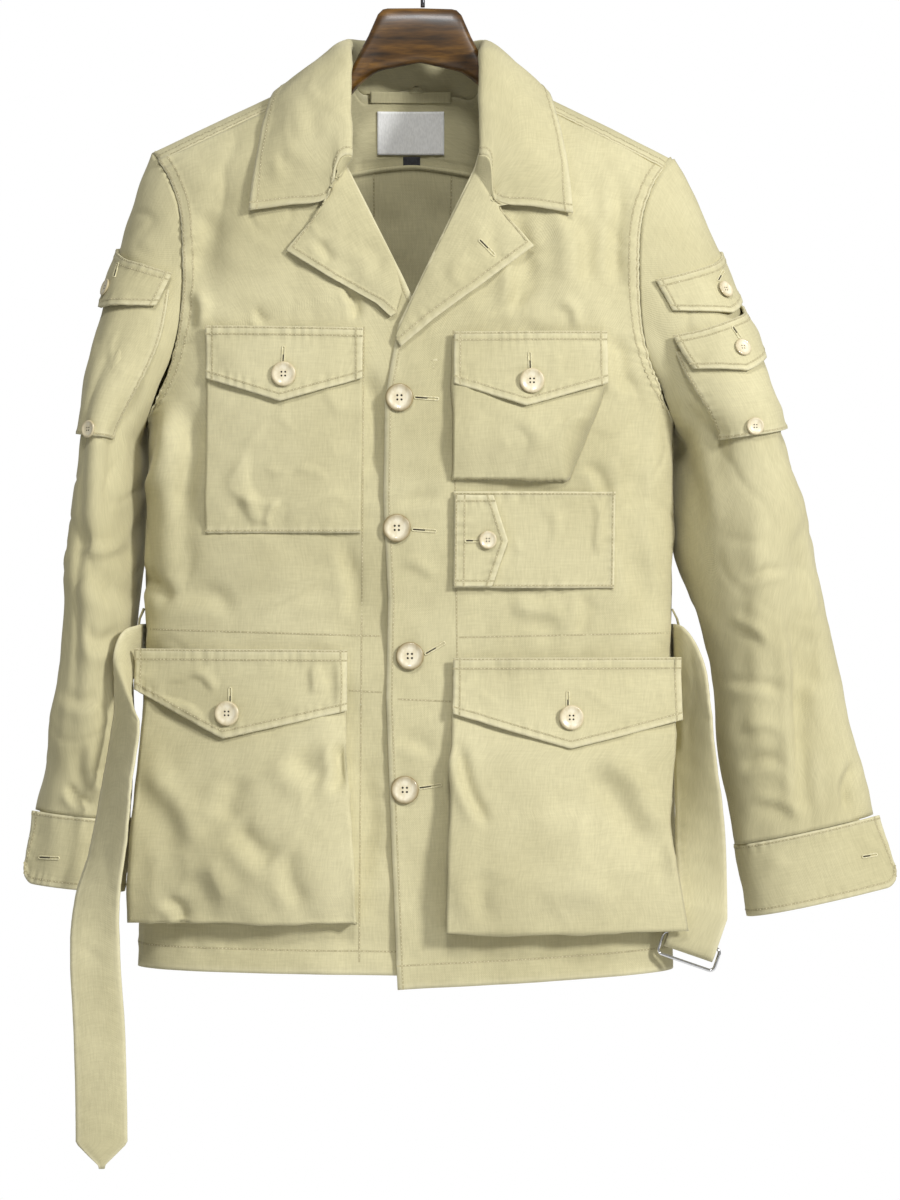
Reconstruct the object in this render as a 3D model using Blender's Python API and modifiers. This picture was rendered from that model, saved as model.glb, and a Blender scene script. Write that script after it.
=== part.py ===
"""Military shirt jacket hanging on a wooden hanger.

Frame: the origin is at the inside of the hook's crown, +Z is up, the jacket's front faces -Y and +X is the
wearer's left. Lengths are in metres and angles in degrees. Left and right are the wearer's own.
Torso places are given as x across from the jacket's middle line, which sways a little with the height z.
"""

import math

import bmesh
import bpy
import numpy as np
from mathutils import Matrix, Vector

FRONT, BACK = -1.0, 1.0
RIGHT, LEFT = -1.0, 1.0
SIDE_NAMES = {RIGHT: "right", LEFT: "left"}

# Cloth
CLOTH = 0.0015
DOUBLED_CLOTH = 0.0022
BELT_CLOTH = 0.0020
SEAM_GAP = 0.0004
SIDE_SEAM_GAP = 0.0010
PIECE_GAP = 0.0005
TRIM_GAP = 0.0012
ARMHOLE_GAP = 0.0014

# Torso form
SECTION_POWER = 2.8
DOME_POWER = 2.2
DOME_BASE = -0.340
RIDGE_REACH, RIDGE_Z, RIDGE_SLOPE, RIDGE_ROUND = 0.1213, -0.1407, 0.485, 0.020
HANG_TILT = 0.012
SHOULDER_SEAM_DROP = 0.013
NECK_HALF, NECK_SHIFT = 0.0665, 0.0040
COLLAR_MIDDLE, COLLAR_FOLD_RADIUS = -0.0055, 0.0034
UNDERARM_Z = -0.415
LAP_LIFT = 0.0016
LAP_HALF, LAP_FADE = 0.046, 0.020

# Belt and buckle
BELT_WIDTH, BELT_Z, BELT_LIFT = 0.042, -0.600, 0.0032
BUCKLE_TILT = 19.0
BUCKLE_AXIS = (0.2225, -0.047, -0.8390)
LOOP_RADIUS, LOOP_DROP, LOOP_RISE = 0.0046, 0.0065, 0.026
RING_WIRE, RING_OFFSET = 0.0012, 0.0017
RING_WIDTH, RING_HEIGHT, RING_CORNER = 0.0490, 0.0190, 0.0040

# Buttons
FRONT_BUTTON, POCKET_BUTTON, SMALL_BUTTON = 0.0115, 0.0102, 0.0073

# Hanger and hook
HANGER_UNDER_RIDGE, HANGER_END, HANGER_MIDDLE = 0.0030, 0.196, -0.0025
HOOK_WIRE, HOOK_INNER = 0.0018, 0.019


def table(columns, *rows):
    """A short table with named columns, each column an array."""
    return dict(zip(columns.split(), np.array(rows, dtype=float).T))


TORSO = table(
    "z half_width middle front_depth back_depth",
    (-0.890, 0.2245, -0.0130, 0.069, 0.062),
    (-0.720, 0.2225, -0.0125, 0.071, 0.063),
    (-0.590, 0.2190, -0.0120, 0.064, 0.056),
    (-0.500, 0.2200, -0.0110, 0.064, 0.058),
    (-0.415, 0.2200, -0.0100, 0.066, 0.060),
    (-0.300, 0.2240, -0.0095, 0.064, 0.060),
    (-0.190, 0.2240, -0.0090, 0.064, 0.060),
    (-0.060, 0.2240, -0.0090, 0.064, 0.060),
)

# Soft folds of the body cloth: a line from one place to another, its half width and its height
FRONT_FOLDS = table(
    "x_from z_from x_to z_to width height",
    (-0.196, -0.360, -0.204, -0.580, 0.012, 0.0060),
    (-0.180, -0.380, -0.186, -0.560, 0.010, -0.0045),
    (0.188, -0.370, 0.200, -0.590, 0.010, -0.0060),
    (0.172, -0.400, 0.176, -0.590, 0.011, 0.0040),
    (0.150, -0.190, 0.166, -0.330, 0.012, -0.0045),
    (-0.150, -0.190, -0.172, -0.320, 0.012, -0.0040),
    (0.120, -0.200, 0.128, -0.320, 0.010, 0.0030),
)
BACK_FOLDS = table(
    "x_from z_from x_to z_to width height",
    (-0.170, -0.300, -0.176, -0.560, 0.014, -0.0060),
    (0.168, -0.300, 0.180, -0.560, 0.014, -0.0060),
    (-0.110, -0.360, -0.104, -0.570, 0.016, 0.0040),
    (0.112, -0.340, 0.104, -0.570, 0.016, 0.0040),
    (-0.120, -0.640, -0.130, -0.850, 0.018, -0.0050),
    (0.090, -0.640, 0.110, -0.850, 0.018, -0.0050),
    (0.000, -0.640, -0.010, -0.850, 0.016, 0.0040),
)
PLEAT_HALF, PLEAT_EDGE, PLEAT_HEIGHT, PLEAT_END = 0.033, 0.004, 0.003, -0.570

# Armhole edges from the shoulder tip down to the underarm
ARMHOLE_FRONT = table(
    "x z",
    (0.2175, -0.1882), (0.2100, -0.1976), (0.2000, -0.2140), (0.1905, -0.2430), (0.1880, -0.2810),
    (0.1895, -0.3250), (0.1965, -0.3600), (0.2075, -0.3880), (0.2165, -0.4080), (0.2200, -0.4150),
)
ARMHOLE_BACK = table(
    "x z",
    (0.2175, -0.1882), (0.2105, -0.1990), (0.2045, -0.2170), (0.1985, -0.2450), (0.1960, -0.2850),
    (0.1975, -0.3280), (0.2030, -0.3620), (0.2110, -0.3900), (0.2175, -0.4085), (0.2200, -0.4150),
)
ARMHOLE_KNOTS = np.linspace(0, 1, len(ARMHOLE_FRONT["x"]))
SHOULDER_SEAM_KNOT, YOKE_KNOT = ARMHOLE_KNOTS[1], ARMHOLE_KNOTS[3]
YOKE_CROWN = 0.053

# Front edges, lapel roll lines and neck edges, from the hem up
FRONT_EDGE = {
    RIGHT: table(
        "z x",
        (-0.8665, 0.034), (-0.4200, 0.034), (-0.3520, 0.020), (-0.2965, -0.005), (-0.2006, -0.0535),
        (-0.1600, -0.0570), (-0.1265, -0.0625),
    ),
    LEFT: table(
        "z x",
        (-0.8775, -0.007), (-0.7230, -0.0136), (-0.6410, -0.0170), (-0.5590, -0.0160), (-0.4770, -0.0210),
        (-0.3950, -0.0205), (-0.3620, -0.0150), (-0.3340, -0.0100), (-0.2047, 0.0515), (-0.1600, 0.0640),
        (-0.1305, 0.0705),
    ),
}
HEM = {RIGHT: (-0.8665, -0.8630), LEFT: (-0.8775, -0.8655)}
BACK_HEM = -0.8640

# Neck seam as places over the shoulder: turn 0 is the back, 90 the shoulder ridge and 180 the front
NECK = table("x turn", (0.0, 57.0), (0.032, 59.0), (0.053, 67.0), (0.0615, 84.0), (NECK_HALF, 109.0))

# Collar, from the middle of the back to the front end
COLLAR = table(
    "along neck_x neck_turn fold_x fold_y fold_z edge_x edge_turn lift",
    (0.00, 0.000, 57.0, 0.000, 0.0490, -0.0868, 0.000, 41.0, 0.0045),
    (0.22, 0.028, 58.5, 0.032, 0.0430, -0.0873, 0.045, 46.5, 0.0048),
    (0.42, 0.053, 67.0, 0.0525, 0.0200, -0.0918, 0.086, 61.5, 0.0050),
    (0.56, 0.0625, 84.0, 0.0550, -0.0020, -0.0975, 0.110, 92.0, 0.0048),
    (0.68, 0.0660, 103.0, 0.0545, -0.0270, -0.1118, 0.118, 112.0, 0.0050),
    (0.82, 0.0610, 124.0, 0.0535, -0.0500, -0.1470, 0.126, 132.0, 0.0065),
    (1.00, 0.0570, 142.0, 0.0520, -0.0640, -0.1960, 0.1320, 151.5, 0.0065),
)
COLLAR_NOTCH = (0.0700, -0.2320)

# Lapels, from the gorge down to the break: the roll line and the outer edge
LAPEL_ROLL, LAPEL_FULL_WIDTH = 0.0030, 0.040
LAPEL = {
    RIGHT: table(
        "along roll_x roll_z edge_x edge_z",
        (0.00, -0.0540, -0.2030, -0.0720, -0.2360), (0.28, -0.0350, -0.2400, -0.1020, -0.2727),
        (0.55, -0.0140, -0.2800, -0.0640, -0.2960), (0.82, -0.0075, -0.3060, -0.0280, -0.3160),
        (1.00, -0.0120, -0.3240, -0.0160, -0.3270),
    ),
    LEFT: table(
        "along roll_x roll_z edge_x edge_z",
        (0.00, 0.0510, -0.2070, 0.0705, -0.2370), (0.28, 0.0380, -0.2350, 0.1010, -0.2686),
        (0.55, 0.0190, -0.2750, 0.0600, -0.2990), (0.80, 0.0020, -0.3100, 0.0190, -0.3290),
        (1.00, -0.0125, -0.3440, -0.0080, -0.3520),
    ),
}

# Sleeves below the cap, in the frame; twist turns the flat of the tube, tilt lifts its outer side
SLEEVE_CAP = 0.45
SLEEVE = {
    RIGHT: table(
        "along x y z half_width half_depth twist tilt",
        (0.45, -0.2550, 0.004, -0.430, 0.0225, 0.074, 12.0, 6.0),
        (0.61, -0.2630, 0.002, -0.520, 0.0255, 0.069, 11.0, 6.0),
        (0.755, -0.2695, 0.000, -0.600, 0.0255, 0.060, 8.0, 6.0),
        (0.865, -0.2740, -0.004, -0.660, 0.0325, 0.053, 7.0, 6.0),
        (1.00, -0.2835, -0.006, -0.737, 0.0400, 0.040, 6.0, 6.0),
    ),
    LEFT: table(
        "along x y z half_width half_depth twist tilt",
        (0.45, 0.2550, 0.004, -0.430, 0.0380, 0.070, 20.0, 10.0),
        (0.61, 0.2690, 0.002, -0.520, 0.0500, 0.067, 26.0, 10.0),
        (0.755, 0.2905, 0.000, -0.600, 0.0510, 0.050, 14.0, 11.0),
        (0.865, 0.2995, -0.004, -0.660, 0.0560, 0.044, 8.0, 12.0),
        (1.00, 0.3180, -0.006, -0.750, 0.0595, 0.036, 6.0, 12.0),
    ),
}
SLEEVE_BULGE = {RIGHT: 0.046, LEFT: 0.066}
SLEEVE_POWER = 2.2

# Soft folds of the sleeves: around is a share of the way round from the outer side over the front
SLEEVE_FOLDS = {
    RIGHT: table(
        "around_from along_from around_to along_to width height",
        (0.20, 0.10, 0.22, 0.95, 0.035, -0.0045), (0.36, 0.12, 0.34, 0.60, 0.035, -0.0050),
        (0.12, 0.50, 0.10, 0.97, 0.035, 0.0040), (0.75, 0.30, 0.78, 0.90, 0.050, -0.0050),
    ),
    LEFT: table(
        "around_from along_from around_to along_to width height",
        (0.20, 0.55, 0.22, 0.97, 0.035, -0.0055), (0.31, 0.50, 0.33, 0.95, 0.035, 0.0040),
        (0.40, 0.12, 0.38, 0.50, 0.035, -0.0050), (0.75, 0.30, 0.78, 0.90, 0.050, -0.0050),
    ),
}

# Cuffs: open bands below the sleeves, the buttonhole end reaching past the sleeve's outer side
CUFF_HEIGHT, CUFF_CORNER, CUFF_FLARE = 0.060, 0.012, 0.05
CUFF_FROM, CUFF_TO = 62.0, 298.0
CUFF_FRONT_REACH = {RIGHT: 0.019, LEFT: 0.032}
CUFF_BACK_REACH = 0.024

# Pockets lying flat on the fronts: top, bottom, sides, side lift, middle lift
BREAST_POCKET_RIGHT = {"x": (-0.1665, -0.0395), "z": (-0.3430, -0.5040), "lift": (0.0022, 0.0060)}
SMALL_POCKET = {"x": (0.0365, 0.1690), "z": (-0.4700, -0.5490), "lift": (0.0022, 0.0045)}
BREAST_POCKET_LEFT = table(
    "z sewn_left wall_left wall_right sewn_right lift",
    (-0.4590, 0.0345, 0.0360, 0.1250, 0.1300, 0.0060),
    (-0.4280, 0.0345, 0.0360, 0.1215, 0.1440, 0.0120),
    (-0.3850, 0.0345, 0.0360, 0.1520, 0.1590, 0.0060),
    (-0.3460, 0.0345, 0.0360, 0.1600, 0.1610, 0.0022),
)
LOWER_POCKET = {
    RIGHT: table(
        "z sewn_left wall_left wall_right sewn_right lift",
        (-0.8230, -0.2060, -0.2260, -0.0400, -0.0410, 0.0130),
        (-0.7900, -0.2060, -0.2240, -0.0410, -0.0430, 0.0190),
        (-0.7200, -0.2060, -0.2200, -0.0470, -0.0490, 0.0150),
        (-0.6570, -0.2060, -0.2160, -0.0510, -0.0520, 0.0070),
        (-0.6140, -0.2060, -0.2130, -0.0510, -0.0520, 0.0030),
    ),
    LEFT: table(
        "z sewn_left wall_left wall_right sewn_right lift",
        (-0.8300, 0.0330, 0.0320, 0.2270, 0.1960, 0.0180),
        (-0.7900, 0.0340, 0.0330, 0.2190, 0.1960, 0.0210),
        (-0.7560, 0.0345, 0.0345, 0.2130, 0.1980, 0.0180),
        (-0.6600, 0.0365, 0.0370, 0.2190, 0.2050, 0.0080),
        (-0.6210, 0.0365, 0.0370, 0.2150, 0.2050, 0.0030),
    ),
}
POCKET_FLAT_HALF = 0.165
FLAP_OVER = DOUBLED_CLOTH + 0.0009

# Flaps on the fronts: sides, top, the two lower corners, the point and the lift off the pocket
FLAPS = {
    "breast_flap_right": dict(x=(-0.1662, -0.0390), top=(-0.3340, -0.3365), corner=(-0.3770, -0.3775),
                              point=(-0.1055, -0.3965)),
    "breast_flap_left": dict(x=(0.0355, 0.1600), top=(-0.3400, -0.3385), corner=(-0.3818, -0.3810),
                             point=(0.0940, -0.4005)),
    "lower_flap_right": dict(x=(-0.2230, -0.0495), top=(-0.5990, -0.6000), corner=(-0.6330, -0.6500),
                             point=(-0.1480, -0.6729)),
    "lower_flap_left": dict(x=(0.0375, 0.2240), top=(-0.6065, -0.6065), corner=(-0.6524, -0.6580),
                            point=(0.1316, -0.6811)),
}
SMALL_FLAP = dict(x=(0.0375, 0.0685), point=0.0810, z=(-0.4730, -0.5480), button=(0.0642, -0.5097))

# Pockets and flaps on the sleeves: front edge round at the top and bottom, back edge round, heights at
# the front and back edges, the flaps' points as share round and height, and their lift at top and bottom
SLEEVE_PATCH_LIFT = CLOTH + 0.0020
SLEEVE_FLAP_LIFT = SLEEVE_PATCH_LIFT + DOUBLED_CLOTH + 3 * PIECE_GAP
SLEEVE_PATCH = {
    RIGHT: dict(front=(0.235, 0.360), back=-0.10, top=(-0.304, -0.290), bottom=(-0.4262, -0.4190)),
    LEFT: dict(front=(0.285, 0.380), back=-0.10, top=(-0.355, -0.335), bottom=(-0.4280, -0.4100)),
}
SLEEVE_FLAPS = {
    "sleeve_flap_right": dict(
        side=RIGHT, front=(0.222, 0.233), back=-0.07, top=(-0.2905, -0.258), bottom=(-0.3179, -0.306),
        point=(0.100, -0.3195), lift=(0.0037, SLEEVE_FLAP_LIFT),
    ),
    "sleeve_flap_left_upper": dict(
        side=LEFT, front=(0.223, 0.238), back=-0.05, top=(-0.2955, -0.262), bottom=(-0.3212, -0.298),
        point=(0.140, -0.3228), lift=(0.0030, 0.0033),
    ),
    "sleeve_flap_left_lower": dict(
        side=LEFT, front=(0.267, 0.290), back=-0.04, top=(-0.3419, -0.307), bottom=(-0.3692, -0.342),
        point=(0.210, -0.3725), lift=(0.0037, SLEEVE_FLAP_LIFT),
    ),
}

# Button places on the fronts, the front flaps and the sleeves
BUTTON_GAP = 0.0006
FRONT_BUTTONS = ((-0.0087, -0.3933), (-0.0097, -0.4999), (0.0021, -0.6048), (-0.0016, -0.7139))
FLAP_BUTTONS = {
    "breast_flap_right": (-0.1026, -0.3744), "breast_flap_left": (0.0984, -0.3801),
    "lower_flap_right": (-0.1445, -0.6524), "lower_flap_left": (0.1319, -0.6557),
}
SLEEVE_BUTTONS = {
    "sleeve_button_right_upper": (RIGHT, 0.095, -0.3030, "sleeve_flap_right"),
    "sleeve_button_right_lower": (RIGHT, 0.245, -0.4195, "sleeve_pocket_right"),
    "sleeve_button_left_upper": (LEFT, 0.125, -0.3038, "sleeve_flap_left_upper"),
    "sleeve_button_left_middle": (LEFT, 0.190, -0.3543, "sleeve_flap_left_lower"),
    "sleeve_button_left_lower": (LEFT, 0.265, -0.4170, "sleeve_pocket_left"),
}


# Scene, materials and modelling helpers

def clear_scene():
    for thing in list(bpy.data.objects):
        bpy.data.objects.remove(thing, do_unlink=True)


def collection(name):
    made = bpy.data.collections.new(name)
    bpy.context.scene.collection.children.link(made)
    return made


def material(name, colour, roughness, metallic=0.0):
    made = bpy.data.materials.new(name)
    made.use_nodes = True
    shader = made.node_tree.nodes["Principled BSDF"]
    shader.inputs["Base Color"].default_value = (*colour, 1.0)
    shader.inputs["Roughness"].default_value = roughness
    shader.inputs["Metallic"].default_value = metallic
    return made


def through(knots, values, at):
    """Smooth curve through the values at rising knots."""
    values = np.asarray(values, dtype=float)
    slopes = np.gradient(values, knots, axis=0)
    at = np.clip(np.asarray(at, dtype=float), knots[0], knots[-1])
    cell = np.clip(np.searchsorted(knots, at, side="right") - 1, 0, len(knots) - 2)
    width = np.asarray(knots[cell + 1] - knots[cell])
    t = (at - knots[cell]) / width
    if values.ndim == 2:
        t, width = t[..., None], width[..., None]
    start = (1 + 2 * t) * (1 - t) ** 2 * values[cell] + t * (1 - t) ** 2 * width * slopes[cell]
    end = t * t * (3 - 2 * t) * values[cell + 1] + t * t * (t - 1) * width * slopes[cell + 1]
    return start + end


def smooth(share):
    share = np.clip(share, 0.0, 1.0)
    return share * share * (3 - 2 * share)


def mix(start, end, share):
    return start + (end - start) * share


def rounded(share, power):
    """Falls from 1 to 0 along a quarter of a rounded square."""
    return (1 - np.clip(share, 0.0, 1.0) ** power) ** (1 / power)


def points(x, y, z):
    return np.stack(np.broadcast_arrays(x, y, z), axis=-1).astype(float)


def evenly(path, count, crowd=1.0):
    """The same path with evenly spaced points, or points crowded towards its end."""
    steps = np.linalg.norm(np.diff(path, axis=0), axis=1)
    run = np.concatenate([[0.0], np.cumsum(steps)])
    at = run[-1] * (1 - (1 - np.linspace(0, 1, count)) ** crowd)
    return np.stack([np.interp(at, run, path[:, axis]) for axis in range(path.shape[1])], axis=-1)


def unit(vectors):
    return vectors / np.linalg.norm(vectors, axis=-1, keepdims=True)


def lifted(surface, a, b, lift, outward):
    """Points of a surface moved out along its normal."""
    a, b, lift = np.broadcast_arrays(a, b, lift)
    step = 0.0004
    along_a = surface(a + step, b) - surface(a - step, b)
    along_b = surface(a, b + step) - surface(a, b - step)
    normal = unit(np.cross(along_a, along_b)) * outward
    return surface(a, b) + normal * lift[..., None]


def fold_height(folds, columns, a, b, stretch=1.0):
    """Height of the soft folds at places a, b; columns name the two ends of each fold's line."""
    total = np.zeros(np.broadcast(a, b).shape)
    ends = [folds[name] for name in columns]
    for a0, b0, a1, b1, width, height in zip(*ends, folds["width"], folds["height"]):
        run = np.hypot((a1 - a0) * stretch, b1 - b0)
        da, db = (a1 - a0) * stretch / run, (b1 - b0) / run
        along = ((a - a0) * stretch * da + (b - b0) * db) / run
        aside = (a - a0) * stretch * db - (b - b0) * da
        ends_fade = smooth(along / 0.25) * smooth((1 - along) / 0.25)
        total = total + height * np.exp(-((aside / width) ** 2)) * ends_fade
    return total


def grid_shape(grid, closed):
    """A sheet whose points are the grid's, row by row."""
    rows, columns = grid.shape[:2]
    shape = bmesh.new()
    bmesh.ops.create_grid(shape, x_segments=columns - 1, y_segments=rows - 1, size=1.0)
    for vert, point in zip(shape.verts, grid.reshape(-1, 3)):
        vert.co = point
    if closed:
        bmesh.ops.remove_doubles(shape, verts=shape.verts, dist=0.00001)
    return shape


def add_object(name, shape, surface_material, round_piece=True):
    mesh = bpy.data.meshes.new(name)
    shape.to_mesh(mesh)
    shape.free()
    thing = bpy.data.objects.new(name, mesh)
    mesh.materials.append(surface_material)
    for face in mesh.polygons:
        face.use_smooth = round_piece
    PARTS.objects.link(thing)
    return thing


def sheet(name, grid, surface_material, thickness=CLOTH, closed=False, flip=False, offset=-1.0):
    """A cloth piece: a sheet thickened inwards from its outer points, which are kept for what lies on it."""
    CLOTH_POINTS[name] = grid
    shape = grid_shape(grid, closed)
    if flip:
        bmesh.ops.reverse_faces(shape, faces=shape.faces)
    thing = add_object(name, shape, surface_material)
    wall = thing.modifiers.new("wall", "SOLIDIFY")
    wall.thickness = thickness
    wall.offset = offset
    wall.use_quality_normals = True


# Form of the body

def torso_at(column, z):
    return through(TORSO["z"], TORSO[column], z)


def ridge(x):
    """Height of the shoulder line, which hangs a little lower on the left."""
    return RIDGE_Z - RIDGE_SLOPE * (np.hypot(x, RIDGE_ROUND) - RIDGE_REACH) - HANG_TILT * x


def torso(x, z, facing):
    """Outer cloth of the front or back, with its large folds."""
    depth = torso_at("front_depth" if facing == FRONT else "back_depth", z)
    across = rounded(np.abs(x) / torso_at("half_width", z), SECTION_POWER)
    rise = np.clip((z - DOME_BASE) / (ridge(x) - DOME_BASE), 0.0, 1.0)
    folds = FRONT_FOLDS if facing == FRONT else BACK_FOLDS
    height = fold_height(folds, ("x_from", "z_from", "x_to", "z_to"), x, z)
    reach = depth * rounded(rise, DOME_POWER) + height
    if facing == BACK:
        pleat = smooth((PLEAT_HALF + PLEAT_EDGE - np.abs(x)) / PLEAT_EDGE)
        reach = reach + PLEAT_HEIGHT * pleat * smooth((z - PLEAT_END) / 0.060) * smooth((-0.200 - z) / 0.040)
    return points(x + torso_at("middle", z), facing * (reach * across + SIDE_SEAM_GAP / 2), z)


def front(x, z):
    return torso(x, z, FRONT)


def back(x, z):
    return torso(x, z, BACK)


def over_shoulder(x, turn):
    """The same cloth as a path over the shoulder, from the back to the front."""
    angle = np.radians(turn)
    height = np.sin(angle) ** (2 / DOME_POWER)
    z = DOME_BASE + (ridge(x) - DOME_BASE) * height
    facing = np.sign(np.cos(angle))
    depth = np.where(facing > 0, torso_at("back_depth", z), torso_at("front_depth", z))
    across = rounded(np.abs(x) / torso_at("half_width", z), SECTION_POWER)
    y = facing * depth * np.abs(np.cos(angle)) ** (2 / DOME_POWER) * across
    return points(x + torso_at("middle", z), y, z)


def turn_at(x, z, facing):
    """Turn over the shoulder at a height on the front or back."""
    rise = np.clip((z - DOME_BASE) / (ridge(x) - DOME_BASE), 0.0, 1.0)
    turn = np.degrees(np.arcsin(rise ** (DOME_POWER / 2)))
    return turn if facing == BACK else 180.0 - turn


def armhole(side, share, facing):
    """x and z of an armhole edge, from the shoulder tip to the underarm."""
    edge = ARMHOLE_FRONT if facing == FRONT else ARMHOLE_BACK
    rise = ridge(side * edge["x"][0]) - edge["z"][0]
    x = side * through(ARMHOLE_KNOTS, edge["x"], share)
    return x, through(ARMHOLE_KNOTS, edge["z"], share) + rise * (1 - share)


def cloth_row(surface, start, end, count, crowd=1.0):
    """Points between two places on the front or back, spaced along the cloth."""
    share = (1 - np.cos(np.linspace(0, np.pi, 160))) / 2
    x, z = mix(start[0], end[0], share), mix(start[1], end[1], share)
    return evenly(surface(x, z), count, crowd)


def mirrored_row(surface, half, z, count):
    """Points from side to side, crowded towards both sides."""
    middle = (count + 1) // 2
    right = cloth_row(surface, (0.0, z), (-half, z), middle, 1.3)
    left = cloth_row(surface, (0.0, z), (half, z), middle, 1.3)
    return np.vstack([right[::-1], left[1:]])


def lap_lift(side):
    """The left front lies over the right one along the middle."""
    def lift(x, z):
        near = smooth((LAP_HALF + LAP_FADE - np.abs(x)) / LAP_FADE)
        return side * LAP_LIFT * near * smooth((-0.250 - z) / 0.060)
    return lift


def front_surface(side):
    """A front with its lap lift, for whatever lies on it."""
    def surface(x, z):
        return front(x, z) + points(0.0, -lap_lift(side)(x, z), 0.0)
    return surface


def front_panel(side, low_rows=10, high_rows=9, columns=10):
    edge = FRONT_EDGE[side]
    hem_middle, hem_side = HEM[side]
    rows = []
    for share in np.linspace(0, 1, low_rows):
        z_edge, z_side = mix(hem_middle, UNDERARM_Z, share), mix(hem_side, UNDERARM_Z, share)
        start = (np.interp(z_edge, edge["z"], edge["x"]), z_edge)
        end = (side * torso_at("half_width", z_side), z_side)
        rows.append(cloth_row(front_surface(side), start, end, columns, 1.3))
    top = ridge(edge["x"][-1]) - SHOULDER_SEAM_DROP - SEAM_GAP
    for share in np.linspace(0, 1, high_rows)[1:]:
        z_edge = mix(UNDERARM_Z, top, share)
        start = (np.interp(z_edge, edge["z"], edge["x"]), z_edge)
        arm_x, arm_z = armhole(side, mix(1.0, SHOULDER_SEAM_KNOT, share), FRONT)
        arm_z = mix(arm_z, min(arm_z, ridge(arm_x) - SHOULDER_SEAM_DROP - SEAM_GAP), share ** 8)
        rows.append(cloth_row(front_surface(side), start, (arm_x, arm_z), columns, 1.15))
    sheet(f"front_{SIDE_NAMES[side]}", np.array(rows), KHAKI, flip=side == RIGHT)


def back_panel(low_rows=10, high_rows=8, columns=21):
    rows = []
    for share in np.linspace(0, 1, low_rows):
        z = mix(BACK_HEM, UNDERARM_Z, share)
        half = torso_at("half_width", z)
        rows.append(mirrored_row(back, half, z, columns))
    across = (1 - np.cos(np.linspace(0, np.pi, 160))) / 2
    for share in np.linspace(0, 1, high_rows)[1:]:
        right_x, right_z = armhole(RIGHT, mix(1.0, YOKE_KNOT, share), BACK)
        left_x, left_z = armhole(LEFT, mix(1.0, YOKE_KNOT, share), BACK)
        x = mix(right_x, left_x, across)
        crown = YOKE_CROWN * share ** 2
        z = mix(right_z, left_z, across) + crown * (1 - np.abs(x / left_x) ** 1.5) - SEAM_GAP * share
        rows.append(evenly(back(x, z), columns))
    sheet("back", np.array(rows), KHAKI, flip=True)


def yoke_edge(side):
    """x and turn of the yoke's end at the armhole, from the back seam over the tip to the front seam."""
    knots = np.array([YOKE_KNOT, ARMHOLE_KNOTS[2], ARMHOLE_KNOTS[1]])
    x, z = armhole(side, knots, BACK)
    tip_x, _ = armhole(side, 0.0, BACK)
    front_x, _ = armhole(side, SHOULDER_SEAM_KNOT, FRONT)
    front_turn = turn_at(front_x, ridge(front_x) - SHOULDER_SEAM_DROP, FRONT)
    turn = np.concatenate([turn_at(x, z, BACK), [90.0, front_turn]])
    return np.concatenate([x, [tip_x, front_x]]), turn


def yoke_seam_z(x):
    """Height of the seam between yoke and back."""
    right_x, right_z = armhole(RIGHT, YOKE_KNOT, BACK)
    left_x, left_z = armhole(LEFT, YOKE_KNOT, BACK)
    ends = mix(right_z, left_z, (x - right_x) / (left_x - right_x))
    return ends + YOKE_CROWN * (1 - np.abs(x / left_x) ** 1.5) + SEAM_GAP


def yoke(columns_shoulder=6, rows=10):
    """The yoke runs from the back seam over both shoulders to the front seams."""
    half = np.array([0.0, 0.40, 0.70, 0.88, 0.96, 1.0])
    neck = NECK_HALF * np.concatenate([-half[:0:-1], half])
    reach = np.linspace(0, 1, columns_shoulder + 1)[1:]
    share_down = np.linspace(0, 1, rows)

    def neck_column(x_neck):
        x = np.full(rows, x_neck + NECK_SHIFT)
        start = turn_at(x[0], yoke_seam_z(x[0]), BACK)
        end = through(NECK["x"], NECK["turn"], abs(x_neck))
        return over_shoulder(x, mix(start, end, share_down))

    def shoulder_column(side, share):
        edge_x, edge_turn = yoke_edge(side)
        turn_guess = mix(edge_turn[0], edge_turn[-1], share_down)
        x = mix(side * NECK_HALF + NECK_SHIFT, through(edge_turn, edge_x, turn_guess), share)
        start = turn_at(x[0], yoke_seam_z(x[0]), BACK)
        end = turn_at(x[-1], ridge(x[-1]) - SHOULDER_SEAM_DROP, FRONT)
        return over_shoulder(x, mix(start, end, share_down))

    grid = [shoulder_column(RIGHT, share) for share in reach[::-1]]
    grid += [neck_column(x) for x in neck]
    grid += [shoulder_column(LEFT, share) for share in reach]
    sheet("yoke", np.array(grid), KHAKI)


def rounded_fold(start, before, after, fold_line, radius, steps=4):
    """An arc across the fold line that turns the direction before into the direction after."""
    before = unit(before - fold_line * (before @ fold_line))
    after = unit(after - fold_line * (after @ fold_line))
    inward = unit(after - before * (after @ before))
    turn = np.linspace(0, math.acos(after @ before), steps)[:, None]
    return start + radius * (inward * (1 - np.cos(turn)) + before * np.sin(turn))


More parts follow.
